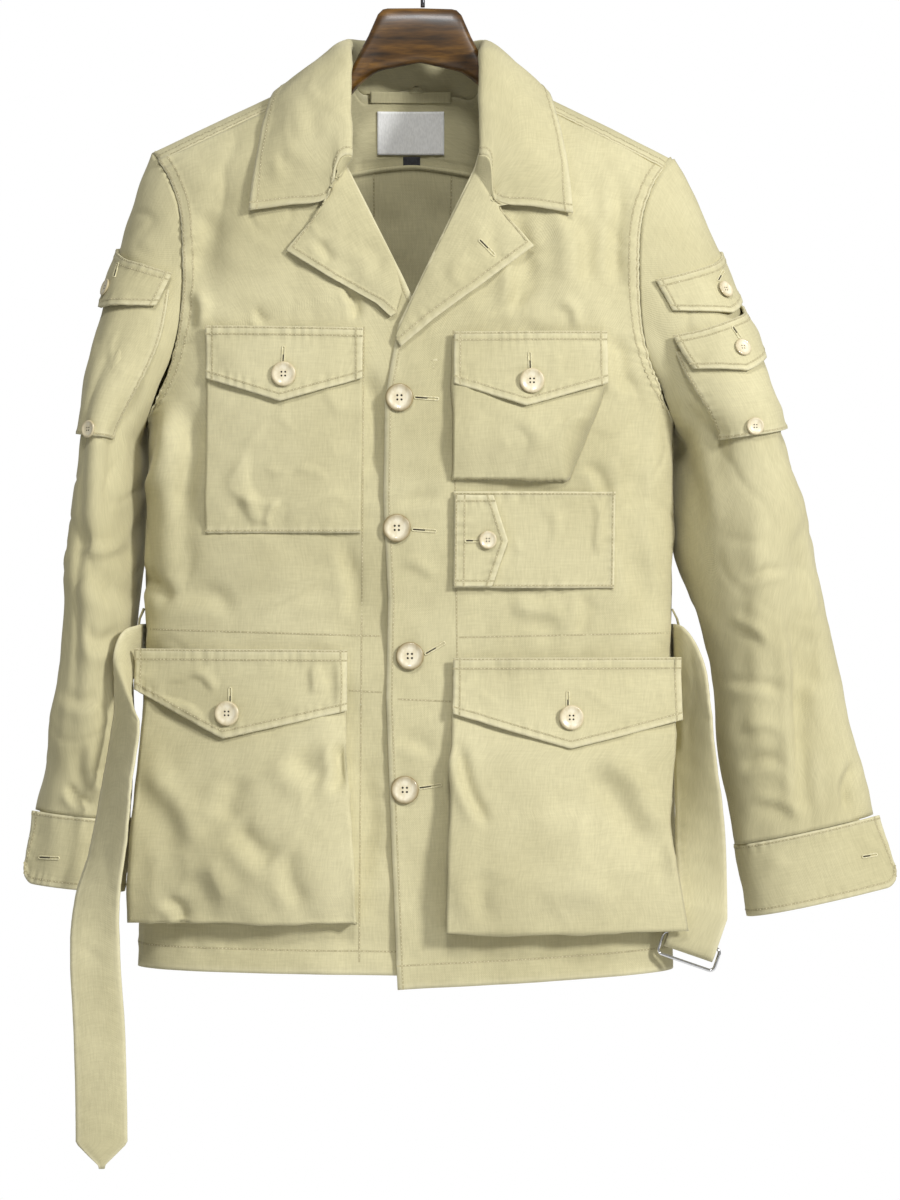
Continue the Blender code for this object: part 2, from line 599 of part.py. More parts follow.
def collar(columns=27):
    """Stand, fold and fall in one folded sheet, from the right point round the neck to the left point."""
    alongs = np.linspace(-1, 1, columns)
    sides = np.where(alongs < 0, RIGHT, LEFT)
    places = {name: through(COLLAR["along"], COLLAR[name], np.abs(alongs)) for name in COLLAR}
    folds = points(sides * places["fold_x"] + COLLAR_MIDDLE, places["fold_y"], places["fold_z"])
    fold_lines = unit(np.gradient(folds, axis=0))
    rows = []
    for number, (along, side, fold) in enumerate(zip(alongs, sides, folds)):
        at = {name: column[number] for name, column in places.items()}
        neck_x = side * (at["neck_x"] - 0.0025) + NECK_SHIFT
        stand = lifted(over_shoulder, neck_x, at["neck_turn"], 0.0030, -1.0)
        edge = lifted(over_shoulder, side * at["edge_x"], at["edge_turn"], at["lift"], -1.0)
        bend = rounded_fold(fold, fold - stand, edge - fold, fold_lines[number], COLLAR_FOLD_RADIUS)
        notch_share = smooth((abs(along) - 0.86) / 0.14)
        notch = lifted(over_shoulder, side * COLLAR_NOTCH[0],
                       turn_at(COLLAR_NOTCH[0], COLLAR_NOTCH[1], FRONT), 0.0060, -1.0)
        straight = mix(bend[-1], edge, np.array([0.30, 0.65])[:, None])
        bulge = np.array([0.0, np.sign(edge[1]) * 0.0040, 0.0012])
        bent = np.array([notch, mix(notch, edge, 0.5)])
        middle = mix(straight + bulge, bent, notch_share)
        rows.append(np.vstack([stand, mix(stand, fold, 0.5), bend, middle, edge]))
    sheet("collar", np.array(rows), KHAKI, thickness=DOUBLED_CLOTH, flip=True)


def lapel(side, rows=12, columns=6):
    data = LAPEL[side]
    grid = []
    for along in np.linspace(0, 1, rows):
        at = {name: np.interp(along, data["along"], data[name]) for name in data}
        share = np.linspace(0, 1, columns)
        width = math.hypot(at["edge_x"] - at["roll_x"], at["edge_z"] - at["roll_z"])
        roll = LAPEL_ROLL * min(1.0, width / LAPEL_FULL_WIDTH)
        lift = DOUBLED_CLOTH + PIECE_GAP + roll * np.sin(np.pi * share ** 0.8) + 0.0008 * share
        x, z = mix(at["roll_x"], at["edge_x"], share), mix(at["roll_z"], at["edge_z"], share)
        grid.append(lifted(front_surface(side), x, z, lift, 1.0))
    sheet(f"lapel_{SIDE_NAMES[side]}", np.array(grid), KHAKI, thickness=DOUBLED_CLOTH, flip=side == LEFT)


# Sleeves

def armhole_ring(side, around):
    """The armhole's closed edge; around 0 is the shoulder tip, 0.5 the underarm, the front comes first."""
    around = np.mod(around, 1.0)
    front_half = around <= 0.5
    share = np.where(front_half, around * 2, (1 - around) * 2)
    ahead = front(*armhole(side, share, FRONT))
    behind = back(*armhole(side, share, BACK))
    ring = np.where(front_half[..., None], ahead, behind)
    return ring + points(side * ARMHOLE_GAP, 0.0, 0.0)


def sleeve_tube(side, around, along):
    """The sleeve below its cap."""
    data = SLEEVE[side]
    at = {name: through(data["along"], data[name], along) for name in data}
    angle = 2 * np.pi * around
    c, s = np.cos(angle), np.sin(angle)
    out = at["half_width"] * np.sign(c) * np.abs(c) ** (2 / SLEEVE_POWER)
    ahead = at["half_depth"] * np.sign(s) * np.abs(s) ** (2 / SLEEVE_POWER)
    twist, tilt = np.radians(at["twist"]), np.radians(at["tilt"])
    outward = out * np.cos(twist) + ahead * np.sin(twist)
    forward = ahead * np.cos(twist) - out * np.sin(twist)
    x = at["x"] + side * outward * np.cos(tilt)
    z = at["z"] + outward * np.sin(tilt)
    return points(x, at["y"] - forward, z)


def sleeve(side):
    """The whole sleeve as a surface: its cap springs from the armhole and runs into the tube."""
    columns = ("around_from", "along_from", "around_to", "along_to")

    def surface(around, along):
        around, along = np.broadcast_arrays(np.asarray(around, float), np.asarray(along, float))
        tube = sleeve_tube(side, around, np.maximum(along, SLEEVE_CAP))
        ring = armhole_ring(side, around)
        end = sleeve_tube(side, around, np.full(around.shape, SLEEVE_CAP))
        run = end - ring
        heading = unit(sleeve_tube(side, around, np.full(around.shape, SLEEVE_CAP + 0.01)) - end)
        outer = smooth((np.cos(2 * np.pi * around) + 0.5) / 1.5)
        leave = run + points(side * SLEEVE_BULGE[side] * outer, 0.0, 0.0)
        arrive = heading * np.linalg.norm(run, axis=-1, keepdims=True)
        t = np.clip(along / SLEEVE_CAP, 0.0, 1.0)[..., None]
        cap = ((1 + 2 * t) * (1 - t) ** 2 * ring + t * (1 - t) ** 2 * leave
               + t * t * (3 - 2 * t) * end + t * t * (t - 1) * arrive)
        base = np.where((along < SLEEVE_CAP)[..., None], cap, tube)
        height = fold_height(SLEEVE_FOLDS[side], columns, np.mod(around, 1.0), along)
        spread = points(side * np.cos(2 * np.pi * around), -np.sin(2 * np.pi * around), 0.0)
        return base + spread * height[..., None]
    return surface


def sleeve_piece(side, rings=17, columns=21):
    along, around = np.meshgrid(np.linspace(0, 1, rings), np.linspace(0, 1, columns), indexing="ij")
    grid = sleeve(side)(around, along)
    sheet(f"sleeve_{SIDE_NAMES[side]}", grid, KHAKI, closed=True, flip=side == RIGHT)


def cuff(side, rows=4, columns=22):
    angle = np.radians(np.linspace(CUFF_FROM, CUFF_TO, 120)) / (2 * np.pi)
    top = sleeve_tube(side, angle, np.ones(120))
    start = top[0] + unit(top[0] - top[1]) * CUFF_FRONT_REACH[side]
    end = top[-1] + unit(top[-1] - top[-2]) * CUFF_BACK_REACH
    path = evenly(np.vstack([start, top, end]), columns)
    run = np.linspace(0, np.sum(np.linalg.norm(np.diff(path, axis=0), axis=1)), columns)
    tilt = math.radians(SLEEVE[side]["tilt"][-1])
    down = np.array([side * math.sin(tilt), 0.0, -math.cos(tilt)])
    corner = np.clip(CUFF_CORNER - run, 0.0, CUFF_CORNER)
    height = CUFF_HEIGHT - (CUFF_CORNER - np.sqrt(CUFF_CORNER ** 2 - corner ** 2))
    middle = path.mean(axis=0)
    grid = []
    for share in np.linspace(0, 1, rows):
        spread = (path - middle) * CUFF_FLARE * share
        grid.append(path + spread + down * (PIECE_GAP + height[:, None] * share))
    sheet(f"cuff_{SIDE_NAMES[side]}", np.array(grid), KHAKI, thickness=DOUBLED_CLOTH, flip=side == RIGHT)


def along_at(side, around, z):
    """Share of the way down the sleeve at given heights."""
    steps = np.linspace(0, 0.6, 121)
    found = np.empty(around.shape)
    for place in np.ndindex(around.shape):
        heights = sleeve(side)(np.full(steps.shape, around[place]), steps)[:, 2]
        found[place] = np.interp(-z[place], -heights, steps)
    return found


def sleeve_area(data, rows, columns):
    """Places round the sleeve and down the piece, from its front edge to its back edge."""
    share = np.linspace(0, 1, columns)
    down = np.linspace(0, 1, rows)[:, None]
    return mix(mix(data["front"][0], data["front"][1], down), data["back"], share), share, down


def sleeve_patch(side, rows=6, columns=10):
    data = SLEEVE_PATCH[side]
    around, share, down = sleeve_area(data, rows, columns)
    z = mix(mix(*data["top"], share), mix(*data["bottom"], share), down)
    grid = lifted(sleeve(side), around, along_at(side, around, z), SLEEVE_PATCH_LIFT, side)
    sheet(f"sleeve_pocket_{SIDE_NAMES[side]}", grid, KHAKI, flip=side == LEFT)


def sleeve_flap(name, data, rows=4, columns=12):
    side = data["side"]
    around, share, down = sleeve_area(data, rows, columns)
    point_share = (data["front"][1] - data["point"][0]) / (data["front"][1] - data["back"])
    bottom_z = [data["bottom"][0], data["point"][1], data["bottom"][1]]
    bottom = np.interp(share, [0.0, point_share, 1.0], bottom_z)
    z = mix(mix(*data["top"], share), bottom, down)
    lift = mix(*data["lift"], smooth(down / 0.6))
    grid = lifted(sleeve(side), around, along_at(side, around, z), lift, side)
    sheet(name, grid, KHAKI, thickness=DOUBLED_CLOTH, flip=side == LEFT)


# Pockets and flaps on the fronts

def flat_pocket(name, data, side, rows=8, columns=9):
    x, z = np.meshgrid(np.linspace(*data["x"], columns), np.linspace(*data["z"], rows))
    across, down = np.meshgrid(np.linspace(0, 1, columns), np.linspace(0, 1, rows))
    low, high = data["lift"]
    lift = low + (high - low) * np.sin(np.pi * across) * np.sin(np.pi * mix(0.15, 1.0, down))
    grid = lifted(front_surface(side), x, z, lift, 1.0)
    sheet(name, grid, KHAKI, flip=True)


def pocket_lift(data, x, z):
    """Height of a bellows pocket's front wall over its front."""
    order = np.argsort(data["z"])
    return through(data["z"][order], data["lift"][order], z) + 0.0 * x


def pocket_base(side):
    """The front, kept from turning away towards the side seam under a bellows pocket."""
    def surface(x, z):
        held = np.clip(x, -POCKET_FLAT_HALF, POCKET_FLAT_HALF)
        beyond = x - held
        return front_surface(side)(held, z) + points(beyond, np.abs(beyond) * 0.25, 0.0)
    return surface


def bellows_pocket(name, data, side, sewn_lift, rows=9, columns=9):
    """Front wall with gussets turned back to the sewn edges at both sides and the bottom."""
    levels = np.linspace(data["z"].max(), data["z"].min(), rows)
    order = np.argsort(data["z"])
    grid = []
    for z in levels:
        at = {key: through(data["z"][order], data[key][order], z) for key in data}
        x = np.linspace(at["wall_left"], at["wall_right"], columns)
        belly = 0.0025 * np.sin(np.pi * np.linspace(0, 1, columns))
        wall = lifted(pocket_base(side), x, z, at["lift"] + belly, 1.0)
        left = lifted(front_surface(side), at["sewn_left"], z, sewn_lift, 1.0)
        right = lifted(front_surface(side), at["sewn_right"], z, sewn_lift, 1.0)
        grid.append(np.vstack([left, wall, right]))
    low = float(data["z"].min())
    x = np.linspace(data["sewn_left"][order][0], data["sewn_right"][order][0], columns + 2)
    grid.append(lifted(front_surface(side), x, low - 0.0015, sewn_lift, 1.0))
    sheet(name, np.array(grid), KHAKI, flip=True)


def flap(name, data, surface, lift, rows=5, columns=11):
    share = np.linspace(0, 1, columns)
    x_line = mix(data["x"][0], data["x"][1], share)
    point_x, point_z = data["point"]
    left_z, right_z = data["corner"]
    bottom = np.where(x_line < point_x,
                      mix(left_z, point_z, (x_line - data["x"][0]) / (point_x - data["x"][0])),
                      mix(right_z, point_z, (data["x"][1] - x_line) / (data["x"][1] - point_x)))
    top = mix(data["top"][0], data["top"][1], share)
    down = np.linspace(0, 1, rows)[:, None]
    z = mix(top, bottom, down)
    x = np.broadcast_to(x_line, z.shape)
    grid = lifted(surface, x, z, lift(x, z), 1.0)
    sheet(name, grid, KHAKI, thickness=DOUBLED_CLOTH, flip=True)


def over_flat_pocket(data):
    """Lift of a flap that lies over a flat pocket."""
    low, high = data["lift"]

    def lift(x, z):
        across = np.clip((x - data["x"][0]) / (data["x"][1] - data["x"][0]), 0.0, 1.0)
        down = np.clip((z - data["z"][0]) / (data["z"][1] - data["z"][0]), 0.0, 1.0)
        swell = (high - low) * np.sin(np.pi * across) * np.sin(np.pi * mix(0.15, 1.0, down))
        return low + swell + FLAP_OVER
    return lift


def over_bellows_pocket(data):
    """Lift of a flap that lies over a bellows pocket."""
    def lift(x, z):
        span = data["wall_right"].max() - data["wall_left"].min()
        across = np.clip((x - data["wall_left"].min()) / span, 0.0, 1.0)
        return pocket_lift(data, x, z) + 0.0025 * np.sin(np.pi * across) + FLAP_OVER
    return lift


def small_flap(rows=7, columns=5):
    """A flap that closes the small pocket from its side."""
    down = np.linspace(0, 1, rows)[:, None]
    tip = 1 - np.abs(2 * down - 1)
    z = mix(SMALL_FLAP["z"][0], SMALL_FLAP["z"][1], down)
    reach = mix(SMALL_FLAP["x"][1], SMALL_FLAP["point"], tip)
    across = np.linspace(0, 1, columns)
    x = mix(SMALL_FLAP["x"][0], reach, across)
    z = np.broadcast_to(z, x.shape)
    grid = lifted(front_surface(LEFT), x, z, over_flat_pocket(SMALL_POCKET)(x, z), 1.0)
    sheet("small_flap", grid, KHAKI, thickness=DOUBLED_CLOTH, flip=True)


# Buttons

def button(name, place, normal, radius):
    """A turned button: a shallow dish inside a raised rim."""
    thick = 0.20 * radius + 0.0008
    profile = [(0.0, 0.80 * thick), (0.68 * radius, 0.80 * thick), (0.86 * radius, thick),
               (radius, 0.55 * thick), (0.80 * radius, 0.0), (0.0, 0.0)]
    shape = bmesh.new()
    verts = [shape.verts.new((r, 0.0, z)) for r, z in profile]
    for first, second in zip(verts, verts[1:]):
        shape.edges.new((first, second))
    thing = add_object(name, shape, HORN)
    turning = thing.modifiers.new("turning", "SCREW")
    turning.steps = turning.render_steps = 12
    turning.use_merge_vertices = True
    turning.merge_threshold = 0.00001
    turning.use_normal_calculate = True
    facing = Vector(normal).to_track_quat("Z", "Y")
    thing.matrix_world = Matrix.Translation(place) @ facing.to_matrix().to_4x4()


def finer(grid, steps=6):
    """The same sheet with more points, straight between the grid's own."""
    for axis in (0, 1):
        count = grid.shape[axis]
        at = np.linspace(0, count - 1, (count - 1) * steps + 1)
        low = np.minimum(at.astype(int), count - 2)
        share = np.moveaxis((at - low)[:, None, None], 0, axis)
        grid = mix(np.take(grid, low, axis=axis), np.take(grid, low + 1, axis=axis), share)
    return grid.reshape(-1, 3)


def seat_button(name, carrier, place, normal, radius):
    """A button at a place, moved along its normal until it just clears the cloth under it."""
    offset = finer(CLOTH_POINTS[carrier]) - place
    height = offset @ normal
    aside = np.linalg.norm(offset - height[:, None] * normal, axis=1)
    rise = height[aside < radius].max()
    button(name, place + normal * (rise + BUTTON_GAP), normal, radius)


def button_on(name, carrier, surface, a, b, lift, outward, radius):
    """A button at a place on a surface, seated on the piece that carries it."""
    a, b = np.array(float(a)), np.array(float(b))
    place = lifted(surface, a, b, lift, outward)
    normal = unit(lifted(surface, a, b, lift + 0.002, outward) - place)
    seat_button(name, carrier, place, normal, radius)


def cuff_button(side):
    """The button on the cuff's back end, which lies behind the buttonhole end."""
    carrier = f"cuff_{SIDE_NAMES[side]}"
    grid = CLOTH_POINTS[carrier]
    place = grid[1:3, -2].mean(axis=0)
    normal = unit(np.cross(grid[1, -1] - grid[1, -3], grid[2, -2] - grid[1, -2])) * side
    seat_button(f"cuff_button_{SIDE_NAMES[side]}", carrier, place, normal, SMALL_BUTTON)


# Belt, loops and buckle

def buckle_frame():
    """Axis place, direction along the bars, direction down the rings, direction to the front."""
    tilt = math.radians(BUCKLE_TILT)
    bar = np.array([math.cos(tilt), 0.0, -math.sin(tilt)])
    down = np.array([-math.sin(tilt), 0.0, -math.cos(tilt)])
    return np.array(BUCKLE_AXIS), bar, down, np.array([0.0, -1.0, 0.0])


def belt():
    """One long strap: pointed tail, round the back, and an end folded round the rings."""
    tail = table(
        "x y z wide_x wide_y wide_z",
        (-0.2605, -0.0855, -1.0215, -1.0, 0.00, 0.0), (-0.2605, -0.0860, -0.9950, -1.0, 0.00, 0.0),
        (-0.2622, -0.0870, -0.9100, -1.0, 0.00, 0.0), (-0.2655, -0.0865, -0.8500, -0.98, 0.15, 0.1),
        (-0.2650, -0.0840, -0.8050, -0.90, 0.40, 0.1), (-0.2560, -0.0800, -0.7550, -0.70, 0.70, 0.0),
        (-0.2475, -0.0780, -0.7000, -0.55, 0.80, 0.1), (-0.2420, -0.0720, -0.6520, -0.50, 0.75, 0.4),
        (-0.2450, -0.0650, -0.6220, -0.40, 0.30, 0.85), (-0.2425, -0.0460, -0.6050, -0.15, 0.0, 0.99),
        (-0.2370, -0.0260, -0.6010, 0.0, 0.0, 1.0), (-0.2345, -0.0100, -0.6000, 0.0, 0.0, 1.0),
    )
    half = float(torso_at("half_width", BELT_Z))
    middle = float(torso_at("middle", BELT_Z))
    share = np.sin(np.linspace(-np.pi / 2, np.pi / 2, 161))[1:-1]
    behind = lifted(back, share * half, BELT_Z, BELT_LIFT, -1.0)
    ends = points(middle + np.array([-1.0, 1.0]) * (half + BELT_LIFT), 0.001, BELT_Z)
    behind = evenly(np.vstack([ends[0], behind, ends[1]]), 25)
    axis, bar, down, ahead = buckle_frame()
    drop = table(
        "x y z wide_x wide_y wide_z",
        (0.2107, -0.0100, -0.6000, 0.0, 0.0, 1.0), (0.2140, -0.0200, -0.6020, 0.10, -0.05, 0.98),
        (0.2200, -0.0290, -0.6180, 0.40, -0.35, 0.80), (0.2235, -0.0340, -0.6550, 0.60, -0.70, 0.35),
        (0.2260, -0.0370, -0.7000, 0.80, -0.58, 0.10), (0.2290, -0.0410, -0.7500, 0.94, -0.30, 0.00),
        (0.2305, -0.0450, -0.7900, 0.96, -0.08, -0.22),
    )
    fold = [axis - down * LOOP_RISE + ahead * LOOP_RADIUS, axis + ahead * LOOP_RADIUS]
    bottom = axis + down * LOOP_DROP
    for angle in np.radians([0, 45, 90, 135, 180]):
        fold.append(bottom + (ahead * math.cos(angle) + down * math.sin(angle)) * LOOP_RADIUS)
    fold.append(axis - ahead * LOOP_RADIUS)
    fold.append(axis - down * LOOP_RISE * 0.9 + ahead * (LOOP_RADIUS - BELT_CLOTH - PIECE_GAP))

    centre = np.vstack([points(tail["x"], tail["y"], tail["z"]), behind,
                        points(drop["x"], drop["y"], drop["z"])])
    wide = np.vstack([points(tail["wide_x"], tail["wide_y"], tail["wide_z"]),
                      np.tile([0.0, 0.0, 1.0], (len(behind), 1)),
                      points(drop["wide_x"], drop["wide_y"], drop["wide_z"])])
    centre = np.vstack([centre, fold[0]])
    wide = np.vstack([wide, bar])
    run = np.concatenate([[0.0], np.cumsum(np.linalg.norm(np.diff(centre, axis=0), axis=1))])
    at = np.linspace(0, run[-1], 74)
    path = np.vstack([through(run, centre, at), fold[1:]])
    across = np.vstack([unit(through(run, wide, at)), np.tile(bar, (len(fold) - 1, 1))])
    length = np.concatenate([at, np.full(len(fold) - 1, run[-1])])
    taper = np.clip(length / 0.021, 0.10, 1.0)[:, None]
    grid = np.stack([path + across * taper * BELT_WIDTH * share for share in (-0.5, 0.0, 0.5)], axis=1)
    sheet("belt", grid, KHAKI, thickness=BELT_CLOTH, offset=0.0)


def belt_loop(name, side):
    """A narrow strap at a side seam that the belt runs through."""
    z = np.linspace(BELT_Z + 0.034, BELT_Z - 0.034, 9)
    bow = 0.0074 * np.sin(np.pi * np.linspace(0, 1, 9)) ** 0.5
    grid = []
    for y in (-0.004, 0.004):
        x = torso_at("middle", z) + side * (torso_at("half_width", z) + CLOTH + PIECE_GAP + bow)
        grid.append(points(x, y, z))
    sheet(name, np.array(grid), KHAKI, flip=side == RIGHT)


def back_belt_loop():
    """A narrow strap at the middle of the back."""
    z = np.linspace(BELT_Z + 0.034, BELT_Z - 0.034, 9)
    bow = 0.0074 * np.sin(np.pi * np.linspace(0, 1, 9)) ** 0.5
    grid = [lifted(back, np.full(9, x), z, CLOTH + 2 * PIECE_GAP + bow, -1.0) for x in (-0.004, 0.004)]
    sheet("belt_loop_back", np.array(grid), KHAKI, flip=True)


def ring(name, side):
    """A slim wire ring; its upper bar lies in the belt's folded end."""
    axis, bar, down, ahead = buckle_frame()
    curve = bpy.data.curves.new(name, "CURVE")
    curve.dimensions = "3D"
    curve.bevel_depth = RING_WIRE
    curve.bevel_resolution = 2
    outline = []
    corners = ((1, 0.0, 270), (1, RING_HEIGHT, 0), (-1, RING_HEIGHT, 90), (-1, 0.0, 180))
    for bar_sign, down_at, start in corners:
        inward = RING_CORNER if down_at == 0.0 else -RING_CORNER
        corner = bar * bar_sign * (RING_WIDTH / 2 - RING_CORNER) + down * (down_at + inward)
        for angle in np.radians([start, start + 30, start + 60, start + 90]):
            outline.append(corner + (bar * math.cos(angle) + down * math.sin(angle)) * RING_CORNER)
    line = curve.splines.new("POLY")
    line.points.add(len(outline) - 1)
    for point, place in zip(line.points, outline):
        point.co = (*(place + ahead * side * RING_OFFSET), 1.0)
    line.use_cyclic_u = True
    curve.materials.append(CHROME)
    thing = bpy.data.objects.new(name, curve)
    thing.location = axis
    PARTS.objects.link(thing)


# Inside the neck

def inside_yoke(x, z):
    """The inner face of the yoke at the back of the neck."""
    return lifted(back, x, z, -CLOTH, -1.0)


def neck_trim(name, x_span, z_top, z_drop, surface_material, rows=4, columns=9):
    x, z = np.meshgrid(np.linspace(*x_span, columns), np.linspace(z_top, z_top - z_drop, rows))
    grid = inside_yoke(x, z) + points(0.0, -TRIM_GAP, 0.0)
    sheet(name, grid, surface_material, thickness=0.0010, flip=False)


# Hanger

def hanger_body(around=12):
    """Neck block and two arms that follow the shoulders from below."""
    block = table(
        "x top bottom half_depth",
        (0.000, -0.0640, -0.1095, 0.0085), (0.030, -0.0645, -0.1160, 0.0085),
        (0.036, -0.0705, -0.1180, 0.0088), (0.041, -0.0840, -0.1215, 0.0092),
        (0.050, -0.1010, -0.1285, 0.0100), (0.056, -0.1155, -0.1360, 0.0102),
        (0.062, -0.1250, -0.1430, 0.0104), (0.070, -0.1300, -0.1500, 0.0106),
    )
    near = np.concatenate([block["x"], [0.018, 0.033, 0.046, 0.059, 0.066]])
    far = HANGER_END - np.array([0.105, 0.075, 0.040, 0.016, 0.009, 0.004, 0.001, 0.0])
    reach = np.sort(np.concatenate([near, far]))
    reach = np.concatenate([-reach[:0:-1], reach])
    rings = []
    for out in reach:
        x = out + HANGER_MIDDLE
        arm_top = ridge(x - float(torso_at("middle", RIDGE_Z))) - HANGER_UNDER_RIDGE
        share = float(smooth((abs(out) - 0.066) / 0.020))
        lean = HANG_TILT * out
        top = mix(np.interp(abs(out), block["x"], block["top"]) - lean, arm_top, share)
        bottom = mix(np.interp(abs(out), block["x"], block["bottom"]) - lean, arm_top - 0.024, share)
        depth = mix(np.interp(abs(out), block["x"], block["half_depth"]), 0.0115, share)
        end = rounded(max(0.0, (abs(out) - HANGER_END + 0.014) / 0.0145), 2.0)
        middle, half = (top + bottom) / 2, (top - bottom) / 2 * end
        angle = 2 * np.pi * np.arange(around + 1) / around
        rings.append(points(x, depth * end * np.sin(angle), middle + half * np.cos(angle)))
    shape = grid_shape(np.array(rings), closed=True)
    bmesh.ops.holes_fill(shape, edges=shape.edges, sides=around)
    bmesh.ops.recalc_face_normals(shape, faces=shape.faces)
    add_object("hanger_body", shape, WOOD)


def hanger_hook():
    """A wire hook that stands in the neck block."""
    radius = HOOK_INNER + HOOK_WIRE
    centre_z = -HOOK_INNER
    path = [(0.0, -0.0632), (0.0, -0.0540), (0.0030, -0.0465), (0.0105, -0.0400)]
    for angle in np.radians(np.arange(-40, 201, 15)):
        path.append((radius * math.cos(angle), centre_z + radius * math.sin(angle)))
    curve = bpy.data.curves.new("hanger_hook", "CURVE")
    curve.dimensions = "3D"
    curve.bevel_depth = HOOK_WIRE
    curve.bevel_resolution = 2
    curve.use_fill_caps = True
    line = curve.splines.new("POLY")
    line.points.add(len(path) - 1)
    for point, (x, z) in zip(line.points, path):
        point.co = (x, 0.0, z, 1.0)
    curve.materials.append(STEEL)
    PARTS.objects.link(bpy.data.objects.new("hanger_hook", curve))


# The whole part

clear_scene()
PARTS = collection("military_shirt_jacket")
CLOTH_POINTS = {}
KHAKI = material("khaki cotton twill", (0.56, 0.50, 0.29), 0.90)
HORN = material("cream horn buttons", (0.72, 0.64, 0.46), 0.40)
WOOD = material("dark walnut", (0.075, 0.032, 0.017), 0.35)
CHROME = material("chrome wire", (0.80, 0.80, 0.80), 0.12, 1.0)
STEEL = material("dark steel wire", (0.10, 0.10, 0.11), 0.30, 1.0)
LABEL = material("white label", (0.85, 0.85, 0.83), 0.80)
TAB = material("dark size tab", (0.05, 0.05, 0.055), 0.80)

hanger_body()
hanger_hook()
yoke()
back_panel()
collar()
for wearer_side in (RIGHT, LEFT):
    front_panel(wearer_side)
    lapel(wearer_side)
    sleeve_piece(wearer_side)
    cuff(wearer_side)
    cuff_button(wearer_side)
    sleeve_patch(wearer_side)
    bellows_pocket(f"lower_pocket_{SIDE_NAMES[wearer_side]}", LOWER_POCKET[wearer_side], wearer_side, 0.0011)
flat_pocket("breast_pocket_right", BREAST_POCKET_RIGHT, RIGHT)
bellows_pocket("breast_pocket_left", BREAST_POCKET_LEFT, LEFT, 0.0014)
flat_pocket("small_pocket", SMALL_POCKET, LEFT, rows=6)
small_flap()
for flap_name, flap_data in SLEEVE_FLAPS.items():
    sleeve_flap(flap_name, flap_data)
FLAP_SEATS = {
    "breast_flap_right": (front_surface(RIGHT), over_flat_pocket(BREAST_POCKET_RIGHT)),
    "breast_flap_left": (front_surface(LEFT), over_bellows_pocket(BREAST_POCKET_LEFT)),
    "lower_flap_right": (pocket_base(RIGHT), over_bellows_pocket(LOWER_POCKET[RIGHT])),
    "lower_flap_left": (pocket_base(LEFT), over_bellows_pocket(LOWER_POCKET[LEFT])),
}
for flap_name, (seat, seat_lift) in FLAP_SEATS.items():
    flap(flap_name, FLAPS[flap_name], seat, seat_lift)
belt()
belt_loop("belt_loop_right", RIGHT)
belt_loop("belt_loop_left", LEFT)
back_belt_loop()
ring("ring_front", 1.0)
ring("ring_back", -1.0)
neck_trim("hanging_loop", (-0.036, 0.033), -0.1290, 0.0090, KHAKI)
neck_trim("neck_label", (-0.0300, 0.0270), -0.1450, 0.0360, LABEL)
neck_trim("size_tab", (-0.0080, 0.0065), -0.1825, 0.0100, TAB)
for number, (x_seat, z_seat) in enumerate(FRONT_BUTTONS, start=1):
    button_name = f"front_button_{number}"
    button_on(button_name, "front_left", front_surface(LEFT), x_seat, z_seat, 0.0, 1.0, FRONT_BUTTON)
for flap_name, (seat, seat_lift) in FLAP_SEATS.items():
    x_seat, z_seat = FLAP_BUTTONS[flap_name]
    lift_here = float(seat_lift(np.array(x_seat), np.array(z_seat)))
    button_name = flap_name.replace("flap", "button")
    button_on(button_name, flap_name, seat, x_seat, z_seat, lift_here, 1.0, POCKET_BUTTON)
button_on("small_button", "small_flap", front_surface(LEFT), *SMALL_FLAP["button"], 0.0, 1.0, SMALL_BUTTON)
for button_name, (side_of, around_at, z_seat, carrier_name) in SLEEVE_BUTTONS.items():
    seat_along = along_at(side_of, np.array([around_at]), np.array([z_seat]))[0]
    button_on(button_name, carrier_name, sleeve(side_of), around_at, seat_along, SLEEVE_FLAP_LIFT, side_of,
              SMALL_BUTTON)
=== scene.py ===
"""Looks of a military shirt jacket that hangs on a wooden hanger.

Frame: metres, +Z up, the origin at the inside of the hook's crown, the jacket's front towards -Y and +X on
the wearer's left. The cloth repeats the part's own sizes at a finer pitch, with creases, sewn edges,
stitches and buttonholes added. Left and right are the wearer's own. Lengths are in metres, turns in
degrees and the power of a light in watts.
"""

import math

import bmesh
import bpy
import numpy as np
from mathutils import Matrix, Vector
from mathutils.bvhtree import BVHTree


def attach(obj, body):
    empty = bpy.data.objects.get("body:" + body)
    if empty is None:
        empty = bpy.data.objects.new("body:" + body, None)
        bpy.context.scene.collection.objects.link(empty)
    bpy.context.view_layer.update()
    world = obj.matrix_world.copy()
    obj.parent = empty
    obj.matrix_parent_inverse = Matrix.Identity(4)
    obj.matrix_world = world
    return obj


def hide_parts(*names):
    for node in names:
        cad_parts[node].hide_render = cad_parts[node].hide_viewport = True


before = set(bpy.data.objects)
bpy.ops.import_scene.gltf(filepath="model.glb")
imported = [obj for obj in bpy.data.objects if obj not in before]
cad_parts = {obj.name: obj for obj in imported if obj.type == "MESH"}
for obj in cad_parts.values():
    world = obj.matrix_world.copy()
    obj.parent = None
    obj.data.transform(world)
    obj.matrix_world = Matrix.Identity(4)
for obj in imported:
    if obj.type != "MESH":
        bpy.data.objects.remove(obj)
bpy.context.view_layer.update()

FRONT, BACK = -1.0, 1.0
RIGHT, LEFT = -1.0, 1.0
SIDE_NAMES = {RIGHT: "right", LEFT: "left"}

# Cloth
CLOTH = 0.0015
DOUBLED_CLOTH = 0.0022
BELT_CLOTH = 0.0020
SEAM_GAP = 0.0004
SIDE_SEAM_GAP = 0.0010
PIECE_GAP = 0.0005
TRIM_GAP, TRIM_CLOTH = 0.0012, 0.0010
ARMHOLE_GAP = 0.0014

